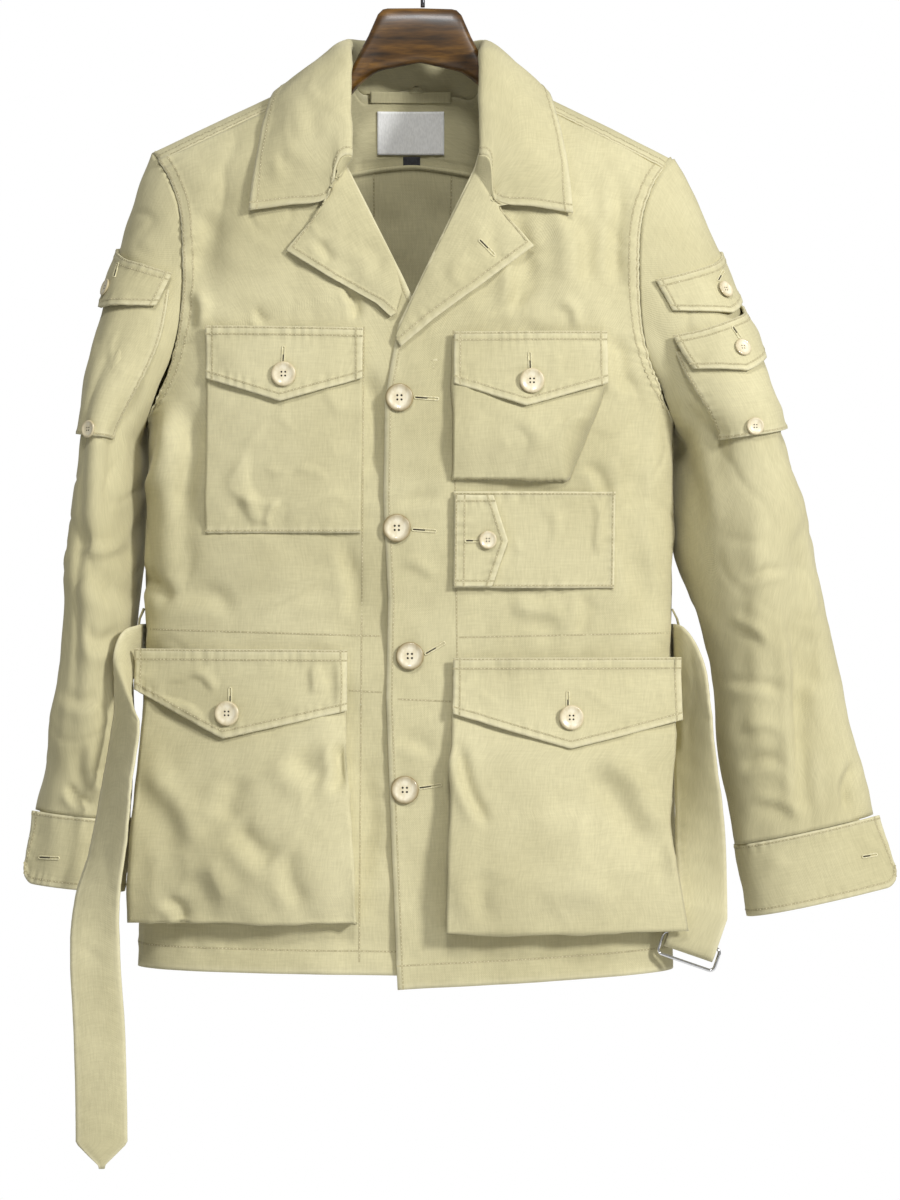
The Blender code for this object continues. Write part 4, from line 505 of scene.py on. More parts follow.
CREASES = {
    FRONT: {
        "front_right": creases(
            (-0.177, -0.233, -0.182, -0.297, 0.010, -0.0020), (-0.187, -0.300, -0.176, -0.338, 0.006, 0.0022),
            (-0.203, -0.400, -0.226, -0.480, 0.009, 0.0030), (-0.190, -0.390, -0.198, -0.500, 0.010, -0.0028),
            (-0.232, -0.530, -0.210, -0.566, 0.008, -0.0025), (-0.138, -0.572, -0.071, -0.530, 0.004, 0.0010),
            (-0.062, -0.505, -0.055, -0.580, 0.006, -0.0020),
            (-0.140, -0.322, -0.125, -0.332, 0.004, -0.0014),
            (-0.060, -0.300, -0.053, -0.332, 0.004, -0.0022),
            (-0.044, -0.360, -0.038, -0.470, 0.008, -0.0024),
            (-0.205, -0.550, -0.150, -0.562, 0.009, -0.0016),
            (-0.045, -0.680, -0.047, -0.800, 0.009, -0.0022),
        ),
        "front_left": creases(
            (0.083, -0.230, 0.085, -0.322, 0.008, -0.0026), (0.083, -0.275, 0.072, -0.327, 0.006, -0.0020),
            (0.128, -0.235, 0.143, -0.305, 0.009, -0.0026), (0.160, -0.200, 0.163, -0.315, 0.008, -0.0028),
            (0.117, -0.310, 0.131, -0.336, 0.005, 0.0014), (0.154, -0.340, 0.175, -0.392, 0.008, -0.0024),
            (0.132, -0.444, 0.158, -0.474, 0.005, -0.0018), (0.056, -0.463, 0.112, -0.471, 0.004, -0.0014),
            (0.070, -0.557, 0.122, -0.577, 0.007, 0.0014), (0.132, -0.550, 0.134, -0.592, 0.006, -0.0018),
            (-0.020, -0.486, 0.014, -0.468, 0.006, -0.0012), (-0.020, -0.526, 0.018, -0.538, 0.005, 0.0010),
            (-0.024, -0.673, 0.014, -0.678, 0.007, -0.0013), (0.182, -0.420, 0.190, -0.570, 0.009, 0.0026),
        ),
        "sleeve_right": creases(
            (-0.253, -0.310, -0.257, -0.362, 0.006, -0.0026),
            (-0.230, -0.312, -0.247, -0.395, 0.007, -0.0032),
            (-0.293, -0.490, -0.242, -0.572, 0.010, -0.0022), (-0.285, -0.522, -0.238, -0.512, 0.005, 0.0012),
            (-0.280, -0.587, -0.250, -0.593, 0.008, -0.0022),
            (-0.300, -0.643, -0.262, -0.637, 0.006, -0.0014),
            (-0.297, -0.712, -0.270, -0.730, 0.004, -0.0026), (-0.274, -0.672, -0.267, -0.730, 0.006, 0.0022),
        ),
        "sleeve_left": creases(
            (0.300, -0.545, 0.322, -0.760, 0.007, -0.0036), (0.316, -0.580, 0.331, -0.640, 0.010, -0.0022),
            (0.260, -0.542, 0.302, -0.532, 0.004, -0.0014), (0.252, -0.568, 0.290, -0.596, 0.005, 0.0016),
            (0.243, -0.621, 0.304, -0.635, 0.005, -0.0013), (0.260, -0.695, 0.298, -0.689, 0.005, -0.0014),
            (0.270, -0.717, 0.322, -0.737, 0.005, 0.0013), (0.357, -0.690, 0.347, -0.738, 0.006, -0.0026),
            (0.232, -0.400, 0.240, -0.520, 0.008, 0.0022), (0.262, -0.660, 0.300, -0.665, 0.005, 0.0010),
        ),
        "lower_pocket_right": creases(
            (-0.160, -0.748, -0.112, -0.768, 0.010, -0.0028),
            (-0.158, -0.700, -0.154, -0.742, 0.010, -0.0018),
            (-0.109, -0.760, -0.101, -0.815, 0.008, -0.0020),
            (-0.210, -0.798, -0.192, -0.826, 0.006, -0.0020),
            (-0.064, -0.672, -0.071, -0.720, 0.006, -0.0030),
            (-0.100, -0.676, -0.083, -0.715, 0.012, -0.0024),
            (-0.226, -0.680, -0.178, -0.770, 0.012, 0.0024), (-0.190, -0.770, -0.150, -0.800, 0.010, 0.0016),
        ),
        "lower_pocket_left": creases(
            (0.024, -0.670, 0.054, -0.748, 0.005, -0.0030), (0.140, -0.680, 0.208, -0.752, 0.011, 0.0032),
            (0.204, -0.745, 0.224, -0.826, 0.008, 0.0026), (0.056, -0.776, 0.043, -0.822, 0.010, -0.0018),
            (0.100, -0.715, 0.150, -0.735, 0.014, -0.0014), (0.090, -0.790, 0.160, -0.800, 0.014, 0.0014),
        ),
        "lower_flap_right": creases(
            (-0.216, -0.627, -0.167, -0.651, 0.006, -0.0026), (-0.087, -0.610, -0.090, -0.638, 0.004, 0.0014),
            (-0.078, -0.610, -0.076, -0.638, 0.003, -0.0014), (-0.066, -0.604, -0.071, -0.654, 0.004, 0.0016),
            (-0.190, -0.616, -0.165, -0.632, 0.005, 0.0012),
        ),
        "lower_flap_left": creases(
            (0.124, -0.620, 0.163, -0.638, 0.005, -0.0018), (0.196, -0.628, 0.201, -0.652, 0.004, 0.0014),
            (0.060, -0.622, 0.066, -0.645, 0.007, -0.0010),
        ),
        "breast_pocket_right": creases(
            (-0.140, -0.430, -0.126, -0.486, 0.008, -0.0012),
            (-0.112, -0.478, -0.124, -0.506, 0.004, -0.0032),
            (-0.098, -0.434, -0.070, -0.456, 0.006, -0.0012), (-0.150, -0.470, -0.128, -0.500, 0.007, 0.0014),
        ),
        "breast_pocket_left": creases(
            (0.110, -0.412, 0.126, -0.401, 0.004, -0.0015), (0.043, -0.432, 0.056, -0.457, 0.007, -0.0012),
            (0.084, -0.405, 0.096, -0.440, 0.008, 0.0010),
        ),
        "small_pocket": creases(
            (0.088, -0.500, 0.086, -0.536, 0.005, -0.0016), (0.120, -0.480, 0.116, -0.528, 0.006, -0.0018),
            (0.142, -0.472, 0.146, -0.526, 0.005, 0.0018),
        ),
        "breast_flap_left": creases(
            (0.042, -0.350, 0.045, -0.382, 0.005, -0.0009), (0.116, -0.352, 0.119, -0.376, 0.005, -0.0009),
        ),
        "collar": creases(
            (-0.120, -0.194, -0.102, -0.207, 0.005, -0.0010), (0.040, -0.216, 0.064, -0.226, 0.005, -0.0012),
            (0.094, -0.170, 0.104, -0.205, 0.008, -0.0010), (-0.084, -0.150, -0.096, -0.185, 0.008, -0.0009),
        ),
        "lapel_right": creases(
            (-0.083, -0.262, -0.075, -0.286, 0.005, -0.0010),
            (-0.048, -0.262, -0.030, -0.292, 0.008, -0.0009),
        ),
        "lapel_left": creases(
            (0.063, -0.247, 0.056, -0.286, 0.007, -0.0010), (0.036, -0.275, 0.024, -0.305, 0.007, 0.0009),
        ),
        "belt": creases(
            (0.226, -0.612, 0.232, -0.694, 0.004, 0.0014), (0.240, -0.720, 0.219, -0.775, 0.005, -0.0014),
            (0.222, -0.650, 0.216, -0.700, 0.004, -0.0012), (0.244, -0.770, 0.226, -0.805, 0.005, 0.0012),
            (-0.288, -0.826, -0.243, -0.886, 0.005, -0.0026),
            (-0.266, -0.688, -0.246, -0.726, 0.005, -0.0014),
            (-0.270, -0.762, -0.246, -0.782, 0.004, -0.0012), (-0.272, -0.800, -0.250, -0.812, 0.004, 0.0010),
        ),
    },
    BACK: {
        "sleeve_right": creases(
            (-0.270, -0.330, -0.262, -0.480, 0.012, -0.0030), (-0.290, -0.520, -0.255, -0.580, 0.010, 0.0026),
            (-0.300, -0.600, -0.262, -0.640, 0.009, -0.0024), (-0.300, -0.660, -0.285, -0.730, 0.007, 0.0022),
        ),
        "sleeve_left": creases(
            (0.270, -0.330, 0.262, -0.480, 0.012, -0.0030), (0.330, -0.520, 0.280, -0.590, 0.010, 0.0026),
            (0.330, -0.620, 0.290, -0.660, 0.009, -0.0024), (0.340, -0.660, 0.335, -0.730, 0.007, 0.0022),
        ),
        "back": creases(
            (-0.150, -0.270, -0.160, -0.420, 0.010, -0.0028), (0.135, -0.260, 0.145, -0.400, 0.010, -0.0028),
            (-0.100, -0.420, -0.060, -0.540, 0.012, 0.0024), (0.085, -0.430, 0.040, -0.545, 0.012, 0.0024),
            (-0.200, -0.440, -0.150, -0.560, 0.010, -0.0026), (0.185, -0.440, 0.140, -0.560, 0.010, -0.0026),
            (-0.080, -0.660, -0.095, -0.800, 0.012, 0.0024), (0.060, -0.650, 0.080, -0.790, 0.012, -0.0024),
            (-0.190, -0.650, -0.170, -0.760, 0.010, -0.0022), (0.170, -0.650, 0.180, -0.780, 0.010, 0.0022),
        ),
        "yoke": creases(
            (-0.140, -0.170, -0.170, -0.205, 0.009, -0.0016), (0.120, -0.170, 0.150, -0.208, 0.009, -0.0016),
            (-0.060, -0.160, -0.075, -0.195, 0.010, 0.0012),
        ),
    },
}


def of_kind(choices, name):
    """The entry for a piece's kind, by the start of its name."""
    kinds = [kind for kind in choices if name.startswith(kind)]
    return choices[kinds[0]] if kinds and "loop" not in name else ()


def tucked(grid, normal, edge, reach, depth):
    """A sheet with one edge carried on under its neighbour."""
    axis, end = edge
    near, next_in = (0, 1) if end == 0 else (-1, -2)
    border, facing = np.take(grid, [near], axis=axis), np.take(normal, [near], axis=axis)
    onward = unit(border - np.take(grid, [next_in], axis=axis))
    step = border + onward * TUCK_REACH / 4 - facing * depth
    far = border + onward * reach - facing * depth
    return np.concatenate([far, step, grid] if end == 0 else [grid, step, far], axis=axis)


def gauss(distance, width):
    return np.exp(-((distance / width) ** 2))


def ripple(place, wavelength, seed):
    """A soft uneven field over space, of about unit height."""
    draw = np.random.default_rng(seed)
    total = np.zeros(place.shape[:-1])
    for _ in range(RIPPLE_WAVES):
        direction = unit(draw.normal(size=3))
        rate = 2 * np.pi / (wavelength * draw.uniform(*RIPPLE_SPREAD))
        total += np.cos(place @ direction * rate + draw.uniform(0, 2 * np.pi))
    return total / math.sqrt(RIPPLE_WAVES / 2)


def normals(grid, flip, closed):
    """Outward directions of a sheet's points."""
    wide = np.concatenate([grid[:, -2:-1], grid, grid[:, 1:2]], axis=1) if closed else grid
    across = np.gradient(wide, axis=1)
    across = across[:, 1:-1] if closed else across
    normal = unit(np.cross(across, np.gradient(grid, axis=0)))
    return -normal if flip else normal


def edge_fields(grid, edge):
    """Distance of each point from an edge along the cloth, and the run along that edge."""
    axis, end = edge
    steps = np.linalg.norm(np.diff(grid, axis=axis), axis=-1)
    first = np.zeros_like(np.take(steps, [0], axis=axis))
    reach = np.concatenate([first, np.cumsum(steps, axis=axis)], axis=axis)
    if end == -1:
        reach = np.take(reach, [-1], axis=axis) - reach
    run = run_along(np.take(grid, end, axis=axis))
    return reach, np.expand_dims(run, axis)


def puckers(run, seed):
    """Uneven waves along a seam."""
    sway = sum(reach * np.sin(run / pitch + shift * seed) for reach, pitch, shift in PUCKER_SWAYS)
    size = PUCKER_SIZE + PUCKER_SIZE_SWAY * np.sin(run / PUCKER_SIZE_PITCH + PUCKER_SIZE_SEED * seed)
    return size * np.sin(2 * np.pi * run / PUCKER_PITCH + sway)


def sewn_height(grid, edge, insets, pucker, seed):
    """Height of a doubled edge: a raised band, drawn in and puckered along its stitching."""
    reach, run = edge_fields(grid, edge)
    band = BAND_HEIGHT * smooth((max(insets) + BAND_FADE - reach) / BAND_FADE)
    near = gauss(reach - np.mean(insets), PUCKER_REACH + np.ptp(insets) / 2)
    return band + PUCKER_STRENGTH * pucker * puckers(run, seed) * near


def inset_line(grid, normal, edge, inset):
    """The line on a sheet at a distance in from one of its edges, with the outward directions along it."""
    reach, _ = edge_fields(grid, edge)
    axis, _ = edge
    lines = np.moveaxis(np.concatenate([reach[..., None], grid, normal], axis=-1), axis, 1)
    found = []
    for line in lines:
        line = line[np.argsort(line[:, 0])]
        found.append([np.interp(inset, line[:, 0], line[:, column]) for column in range(1, 7)])
    found = np.array(found)
    return found[:, :3], unit(found[:, 3:])


def crease_height(rows, facing, place, normal):
    """Creases as seen from one side: a soft ridge with a trough beside it, fading at both ends."""
    total = np.zeros(place.shape[:-1])
    x, z = place[..., 0], place[..., 2]
    seen = smooth((normal[..., 1] * facing + CREASE_TURN) / CREASE_TURN_FADE)
    for x0, z0, x1, z1, width, height in zip(*rows.values()):
        run = math.hypot(x1 - x0, z1 - z0)
        dx, dz = (x1 - x0) / run, (z1 - z0) / run
        along = ((x - x0) * dx + (z - z0) * dz) / run
        bow = CREASE_BOW * width * np.sin(CREASE_BOW_WAVES * np.pi * along + CREASE_BOW_SHIFT * x0)
        aside = ((x - x0) * dz - (z - z0) * dx + bow) / width
        ends = smooth(along / CREASE_END) * smooth((1 - along) / CREASE_END)
        shape = gauss(aside, 1.0) - TROUGH_SHARE * gauss(aside - TROUGH_AWAY, 1.0)
        total += CREASE_STRENGTH * height * shape * ends * seen
    return total


def side_seam_fade(name, edge, grid):
    """1 where an edge is stitched on show; the fronts' side seams below the armholes are not."""
    if not name.startswith("front") or edge != LAST_COLUMN:
        return np.ones(grid.shape[:2])
    return smooth((grid[..., 2] - UNDERARM_Z) / SIDE_SEAM_FADE)


def wrinkles(name, grid, seed):
    """Height of fine crisp creases over parts of a piece: troughs in the cloth that lies under others."""
    height = gauss(ripple(grid, WRINKLE_SIZE, seed), WRINKLE_SHARP) * WRINKLE_HEIGHT
    height *= smooth(ripple(grid, WRINKLE_PATCH, seed + 1) + WRINKLE_COVER)
    for edge in (FIRST_ROW, LAST_ROW, FIRST_COLUMN, LAST_COLUMN):
        reach, _ = edge_fields(grid, edge)
        height *= smooth(reach / WRINKLE_EDGE)
    if name in UNDER_PIECES:
        return -height * smooth((np.abs(grid[..., 0]) - LAP_HALF) / LAP_FADE)
    return height


def dressed(name, grid, flip, closed):
    """A sheet's points with its creases and sewn edges, and how worn each point is."""
    normal = normals(grid, flip, closed)
    seed = sum(map(ord, name))
    height = RIPPLE_LARGE * ripple(grid, RIPPLE_LARGE_SIZE, seed)
    height += RIPPLE_SMALL * ripple(grid, RIPPLE_SMALL_SIZE, seed + 1)
    height += wrinkles(name, grid, seed + 2)
    if name in QUIET_PIECES:
        height *= QUIET_SHARE
    for facing, pieces in CREASES.items():
        if name in pieces:
            height += crease_height(pieces[name], facing, grid, normal)
    if any(word in name for word in OVER_WORDS):
        height = np.maximum(height, OVER_FLOOR)
    wear = np.zeros(grid.shape[:2])
    for count, (edge, insets, pucker) in enumerate(of_kind(SEWING, name)):
        shown = side_seam_fade(name, edge, grid)
        height += shown * sewn_height(grid, edge, insets, pucker, seed + count)
        reach, run = edge_fields(grid, edge)
        worn = gauss(reach, WEAR_REACH) * (WEAR_EVEN + WEAR_UNEVEN * puckers(run, seed))
        wear = np.maximum(wear, worn)
    from_buckle = np.linalg.norm(grid - np.array(BUCKLE_AXIS), axis=-1)
    away = smooth((from_buckle - BUCKLE_CLEAR) / BUCKLE_CLEAR)
    height *= away
    if name in BEHIND_BUCKLE:
        height -= BUCKLE_DIP * (1.0 - away)
    return grid + normal * height[..., None], wear


PIECES, TREES, STITCH_LINES, COLLAR_ENDS = {}, {}, {}, {}


def linked(name, data):
    """A new object in the scene."""
    thing = bpy.data.objects.new(name, data)
    bpy.context.scene.collection.objects.link(thing)
    return thing


def mesh_of(name, verts, faces):
    made = bpy.data.meshes.new(name)
    made.from_pydata(verts, [], faces)
    return made


def cells(grid):
    """The four corners of each cell of a grid, in order round the cell."""
    return np.stack([grid[:-1, :-1], grid[:-1, 1:], grid[1:, 1:], grid[1:, :-1]], axis=2)


def sheet(name, grid, surface_material, thickness=CLOTH, closed=False, flip=False, offset=-1.0,
          slot="cloth"):
    """A cloth piece: its outer points dressed and thickened inwards; it stands for its node."""
    grid, wear = dressed(name, grid, flip, closed)
    normal = normals(grid, flip, closed)
    for edge, insets, _ in of_kind(SEWING, name):
        for inset in insets:
            path, facing = inset_line(grid, normal, edge, inset)
            shown = np.take(side_seam_fade(name, edge, grid), edge[1], axis=edge[0]) > STITCHED_ABOVE
            STITCH_LINES.setdefault(name, []).append((path[shown], facing[shown]))
    for edge, reach, depth in of_kind(TUCKS, name):
        grid = tucked(grid, normals(grid, flip, closed), edge, reach, depth)
        axis, end = edge
        padding = [(0, 0), (0, 0)]
        padding[axis] = (2, 0) if end == 0 else (0, 2)
        wear = np.pad(wear, padding)
    rows, columns = grid.shape[:2]
    index = np.arange(rows * columns).reshape(rows, columns)
    if closed:
        index[:, -1] = index[:, 0]
    quads = cells(index).reshape(-1, 4)
    across, _ = edge_fields(grid, FIRST_COLUMN)
    down, _ = edge_fields(grid, FIRST_ROW)
    corners = cells(np.stack([across, down], axis=-1)).reshape(-1, 4, 2)
    if flip:
        quads, corners = quads[:, ::-1], corners[:, ::-1]
    shape = mesh_of(name + "_cloth", grid.reshape(-1, 3).tolist(), quads.tolist())
    shape.uv_layers.new(name="cloth").data.foreach_set("uv", corners.astype(np.float32).ravel())
    worn = shape.attributes.new("wear", "FLOAT", "POINT")
    worn.data.foreach_set("value", wear.astype(np.float32).ravel())
    clean = bmesh.new()
    clean.from_mesh(shape)
    loose = [vert for vert in clean.verts if not vert.link_faces]
    bmesh.ops.delete(clean, geom=loose, context="VERTS")
    clean.to_mesh(shape)
    clean.free()
    thing = add_piece(name + "_cloth", shape, surface_material, name, slot=slot)
    wall = thing.modifiers.new("wall", "SOLIDIFY")
    wall.thickness, wall.offset, wall.use_quality_normals = thickness, offset, True
    TREES[name] = BVHTree.FromPolygons(grid.reshape(-1, 3).tolist(), quads.tolist())
    PIECES[name] = thing


def add_piece(name, shape, surface_material, *nodes, body="jacket", slot="cloth"):
    """A piece that rides on a body and stands for the named nodes."""
    thing = linked(name, shape)
    thing.data.materials.append(surface_material)
    thing.data.shade_smooth()
    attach(thing, body)
    if nodes:
        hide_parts(*nodes)
    return thing


def stitches(name, lines, surface_material):
    """Thread stitches along lines of points and outward directions, each line laid on a dark strip of painted
    shade that stands for the shadow of a sunk groove, as one mesh.
    """
    verts, faces = [], []
    for path, facing in lines:
        run = run_along(path)
        starts = np.arange(STITCH_PITCH, run[-1] - STITCH_PITCH, STITCH_PITCH)

        def at(places, values):
            return np.stack([np.interp(places, run, values[:, axis]) for axis in range(3)], axis=-1)

        first, last = at(starts, path), at(starts + STITCH_LENGTH, path)
        up = unit(at(starts + STITCH_LENGTH / 2, facing))
        aside = unit(np.cross(last - first, up)) * STITCH_HALF
        middle = (first + last) / 2 + up * STITCH_RISE * 0.5
        ring = [middle + aside, middle + up * STITCH_RISE, middle - aside, middle - up * STITCH_RISE]
        block = np.stack([first, last, *ring], axis=1)
        base = len(verts) + 6 * np.arange(len(block))[:, None]
        verts.extend(block.reshape(-1, 3).tolist())
        for here, after in ((2, 3), (3, 4), (4, 5), (5, 2)):
            faces.extend((base + np.array([0, after, here])).tolist())
            faces.extend((base + np.array([1, here, after])).tolist())
    thread_faces = len(faces)
    # A flat dark strip of painted shade along each line, standing for the shadow in the stitched groove
    for path, facing in lines:
        aside = unit(np.cross(np.gradient(path, axis=0), facing)) * SHADE_STRIP_HALF
        seat = path + facing * SHADE_STRIP_RISE
        base = len(verts) + 2 * np.arange(len(path) - 1)[:, None]
        verts.extend(np.stack([seat - aside, seat + aside], axis=1).reshape(-1, 3).tolist())
        faces.extend((base + np.array([0, 1, 3, 2])).tolist())
    shape = mesh_of(name, verts, faces)
    add_piece(name, shape, surface_material)
    shape.materials.append(PAINTED_SEAM_SHADE)
    for face in shape.polygons[thread_faces:]:
        face.material_index = 1


def dropped(name, x, z, side=FRONT):
    """Places and outward directions where lines from the front or the back meet a piece."""
    places, facing = [], []
    for x_at, z_at in np.broadcast(x, z):
        place, direction, _, _ = TREES[name].ray_cast((x_at, side, z_at), (0.0, -side, 0.0))
        if place is not None:
            places.append(place)
            facing.append(direction if direction.y * side > 0 else -direction)
    return np.array(places), np.array(facing)


# Form of the body

def torso_at(column, z):
    return through(TORSO["z"], TORSO[column], z)


def ridge(x):
    """Height of the shoulder line, which hangs a little lower on the left."""
    return RIDGE_Z - RIDGE_SLOPE * (np.hypot(x, RIDGE_ROUND) - RIDGE_REACH) - HANG_TILT * x


def torso(x, z, facing):
    """Outer cloth of the front or back, with its large folds."""
    depth = torso_at("front_depth" if facing == FRONT else "back_depth", z)
    across = rounded(np.abs(x) / torso_at("half_width", z), SECTION_POWER)
    rise = np.clip((z - DOME_BASE) / (ridge(x) - DOME_BASE), 0.0, 1.0)
    folds = FRONT_FOLDS if facing == FRONT else BACK_FOLDS
    height = fold_height(folds, ("x_from", "z_from", "x_to", "z_to"), x, z)
    reach = depth * rounded(rise, DOME_POWER) + height
    if facing == BACK:
        pleat = smooth((PLEAT_HALF + PLEAT_EDGE - np.abs(x)) / PLEAT_EDGE)
        shown = smooth((z - PLEAT_END) / PLEAT_END_FADE) * smooth((PLEAT_TOP - z) / PLEAT_TOP_FADE)
        reach = reach + PLEAT_HEIGHT * pleat * shown
    return points(x + torso_at("middle", z), facing * (reach * across + SIDE_SEAM_GAP / 2), z)


def front(x, z):
    return torso(x, z, FRONT)


def back(x, z):
    return torso(x, z, BACK)


def over_shoulder(x, turn):
    """The same cloth as a path over the shoulder, from the back to the front."""
    angle = np.radians(turn)
    height = np.sin(angle) ** (2 / DOME_POWER)
    z = DOME_BASE + (ridge(x) - DOME_BASE) * height
    facing = np.sign(np.cos(angle))
    depth = np.where(facing > 0, torso_at("back_depth", z), torso_at("front_depth", z))
    across = rounded(np.abs(x) / torso_at("half_width", z), SECTION_POWER)
    y = facing * depth * np.abs(np.cos(angle)) ** (2 / DOME_POWER) * across
    return points(x + torso_at("middle", z), y, z)


def turn_at(x, z, facing):
    """Turn over the shoulder at a height on the front or back."""
    rise = np.clip((z - DOME_BASE) / (ridge(x) - DOME_BASE), 0.0, 1.0)
    turn = np.degrees(np.arcsin(rise ** (DOME_POWER / 2)))
    return turn if facing == BACK else 180.0 - turn


def armhole(side, share, facing):
    """x and z of an armhole edge, from the shoulder tip to the underarm."""
    edge = ARMHOLE_FRONT if facing == FRONT else ARMHOLE_BACK
    rise = ridge(side * edge["x"][0]) - edge["z"][0]
    x = side * through(ARMHOLE_KNOTS, edge["x"], share)
    return x, through(ARMHOLE_KNOTS, edge["z"], share) + rise * (1 - share)


def cloth_row(surface, start, end, count, crowd=1.0):
    """Points between two places on the front or back, spaced along the cloth."""
    share = (1 - np.cos(np.linspace(0, np.pi, ROW_STEPS))) / 2
    x, z = mix(start[0], end[0], share), mix(start[1], end[1], share)
    return evenly(surface(x, z), count, crowd)


def mirrored_row(surface, half, z, count):
    """Points from side to side, crowded towards both sides."""
    middle = (count + 1) // 2
    right = cloth_row(surface, (0.0, z), (-half, z), middle, SIDE_CROWD)
    left = cloth_row(surface, (0.0, z), (half, z), middle, SIDE_CROWD)
    return np.vstack([right[::-1], left[1:]])


def lap_lift(side):
    """The left front lies over the right one along the middle."""
    def lift(x, z):
        near = smooth((LAP_HALF + LAP_FADE - np.abs(x)) / LAP_FADE)
        return side * LAP_LIFT * near * smooth((LAP_TOP - z) / LAP_TOP_FADE)
    return lift


def front_surface(side):
    """A front with its lap lift, for whatever lies on it."""
    def surface(x, z):
        return front(x, z) + points(0.0, -lap_lift(side)(x, z), 0.0)
    return surface


def eased(grid, row, reach=26, passes=120):
    """A sheet with its columns drawn smooth across the rows near the given one."""
    near = slice(row - reach, row + reach)
    for _ in range(passes):
        before, after = grid[row - reach - 1:row + reach - 1], grid[row - reach + 1:row + reach + 1]
        grid[near, 1:-1] = (before + 2 * grid[near] + after)[:, 1:-1] / 4
    return grid


def front_panel(side, low_rows=150, high_rows=94, columns=78):
    edge = FRONT_EDGE[side]
    hem_middle, hem_side = HEM[side]
    rows = []
    for share in np.linspace(0, 1, low_rows):
        z_edge, z_side = mix(hem_middle, UNDERARM_Z, share), mix(hem_side, UNDERARM_Z, share)
        start = (np.interp(z_edge, edge["z"], edge["x"]), z_edge)
        end = (side * torso_at("half_width", z_side), z_side)
        rows.append(cloth_row(front_surface(side), start, end, columns, SIDE_CROWD))
    top = ridge(edge["x"][-1]) - SHOULDER_SEAM_DROP - SEAM_GAP
    for share in np.linspace(0, 1, high_rows)[1:]:
        z_edge = mix(UNDERARM_Z, top, share)
        start = (np.interp(z_edge, edge["z"], edge["x"]), z_edge)
        arm_x, arm_z = armhole(side, mix(1.0, SHOULDER_SEAM_KNOT, share), FRONT)
        seam_z = min(arm_z, ridge(arm_x) - SHOULDER_SEAM_DROP - SEAM_GAP)
        arm_z = mix(arm_z, seam_z, share ** SHOULDER_EASE_POWER)
        crowd = mix(SIDE_CROWD, ARM_CROWD, smooth(2 * share))
        rows.append(cloth_row(front_surface(side), start, (arm_x, arm_z), columns, crowd))
    grid = eased(np.array(rows), low_rows)
    sheet(f"front_{SIDE_NAMES[side]}", grid, KHAKI, flip=side == RIGHT)


def back_panel(low_rows=135, high_rows=70, columns=131):
    rows = []
    for share in np.linspace(0, 1, low_rows):
        z = mix(BACK_HEM, UNDERARM_Z, share)
        half = torso_at("half_width", z)
        rows.append(mirrored_row(back, half, z, columns))
    across = (1 - np.cos(np.linspace(0, np.pi, ROW_STEPS))) / 2
    for share in np.linspace(0, 1, high_rows)[1:]:
        right_x, right_z = armhole(RIGHT, mix(1.0, YOKE_KNOT, share), BACK)
        left_x, left_z = armhole(LEFT, mix(1.0, YOKE_KNOT, share), BACK)
        x = mix(right_x, left_x, across)
        crown = YOKE_CROWN * share ** 2
        arch = crown * (1 - np.abs(x / left_x) ** YOKE_CROWN_POWER)
        z = mix(right_z, left_z, across) + arch - SEAM_GAP * share
        rows.append(evenly(back(x, z), columns))
    sheet("back", eased(np.array(rows), low_rows), KHAKI, flip=True)


def yoke_edge(side):
    """x and turn of the yoke's end at the armhole, from the back seam over the tip to the front seam."""
    knots = np.array([YOKE_KNOT, ARMHOLE_KNOTS[2], ARMHOLE_KNOTS[1]])
    x, z = armhole(side, knots, BACK)
    tip_x, _ = armhole(side, 0.0, BACK)
    front_x, _ = armhole(side, SHOULDER_SEAM_KNOT, FRONT)
    front_turn = turn_at(front_x, ridge(front_x) - SHOULDER_SEAM_DROP, FRONT)
    turn = np.concatenate([turn_at(x, z, BACK), [90.0, front_turn]])
    return np.concatenate([x, [tip_x, front_x]]), turn


def yoke_seam_z(x):
    """Height of the seam between yoke and back."""
    right_x, right_z = armhole(RIGHT, YOKE_KNOT, BACK)
    left_x, left_z = armhole(LEFT, YOKE_KNOT, BACK)
    ends = mix(right_z, left_z, (x - right_x) / (left_x - right_x))
    return ends + YOKE_CROWN * (1 - np.abs(x / left_x) ** YOKE_CROWN_POWER) + SEAM_GAP


def yoke(columns_shoulder=44, columns_neck=26, rows=64):
    """The yoke runs from the back seam over both shoulders to the front seams."""
    half = np.sin(np.linspace(0, np.pi / 2, columns_neck))
    neck = NECK_HALF * np.concatenate([-half[:0:-1], half])
    reach = np.linspace(0, 1, columns_shoulder + 1)[1:]
    share_down = np.linspace(0, 1, rows)

    def neck_column(x_neck):
        x = np.full(rows, x_neck + NECK_SHIFT)
        start = turn_at(x[0], yoke_seam_z(x[0]), BACK)
        end = through(NECK["x"], NECK["turn"], abs(x_neck))
        return over_shoulder(x, mix(start, end, share_down))

    def shoulder_column(side, share):
        edge_x, edge_turn = yoke_edge(side)
        turn_guess = mix(edge_turn[0], edge_turn[-1], share_down)
        x = mix(side * NECK_HALF + NECK_SHIFT, through(edge_turn, edge_x, turn_guess), share)
        start = turn_at(x[0], yoke_seam_z(x[0]), BACK)
        end = turn_at(x[-1], ridge(x[-1]) - SHOULDER_SEAM_DROP, FRONT)
        return over_shoulder(x, mix(start, end, share_down))

    grid = [shoulder_column(RIGHT, share) for share in reach[::-1]]
    grid += [neck_column(x) for x in neck]
    grid += [shoulder_column(LEFT, share) for share in reach]
    sheet("yoke", np.array(grid), KHAKI)


def rounded_fold(start, before, after, fold_line, radius, steps=4):
    """An arc across the fold line that turns the direction before into the direction after."""
    before = unit(before - fold_line * (before @ fold_line))
    after = unit(after - fold_line * (after @ fold_line))
    inward = unit(after - before * (after @ before))
    turn = np.linspace(0, math.acos(after @ before), steps)[:, None]
    return start + radius * (inward * (1 - np.cos(turn)) + before * np.sin(turn))


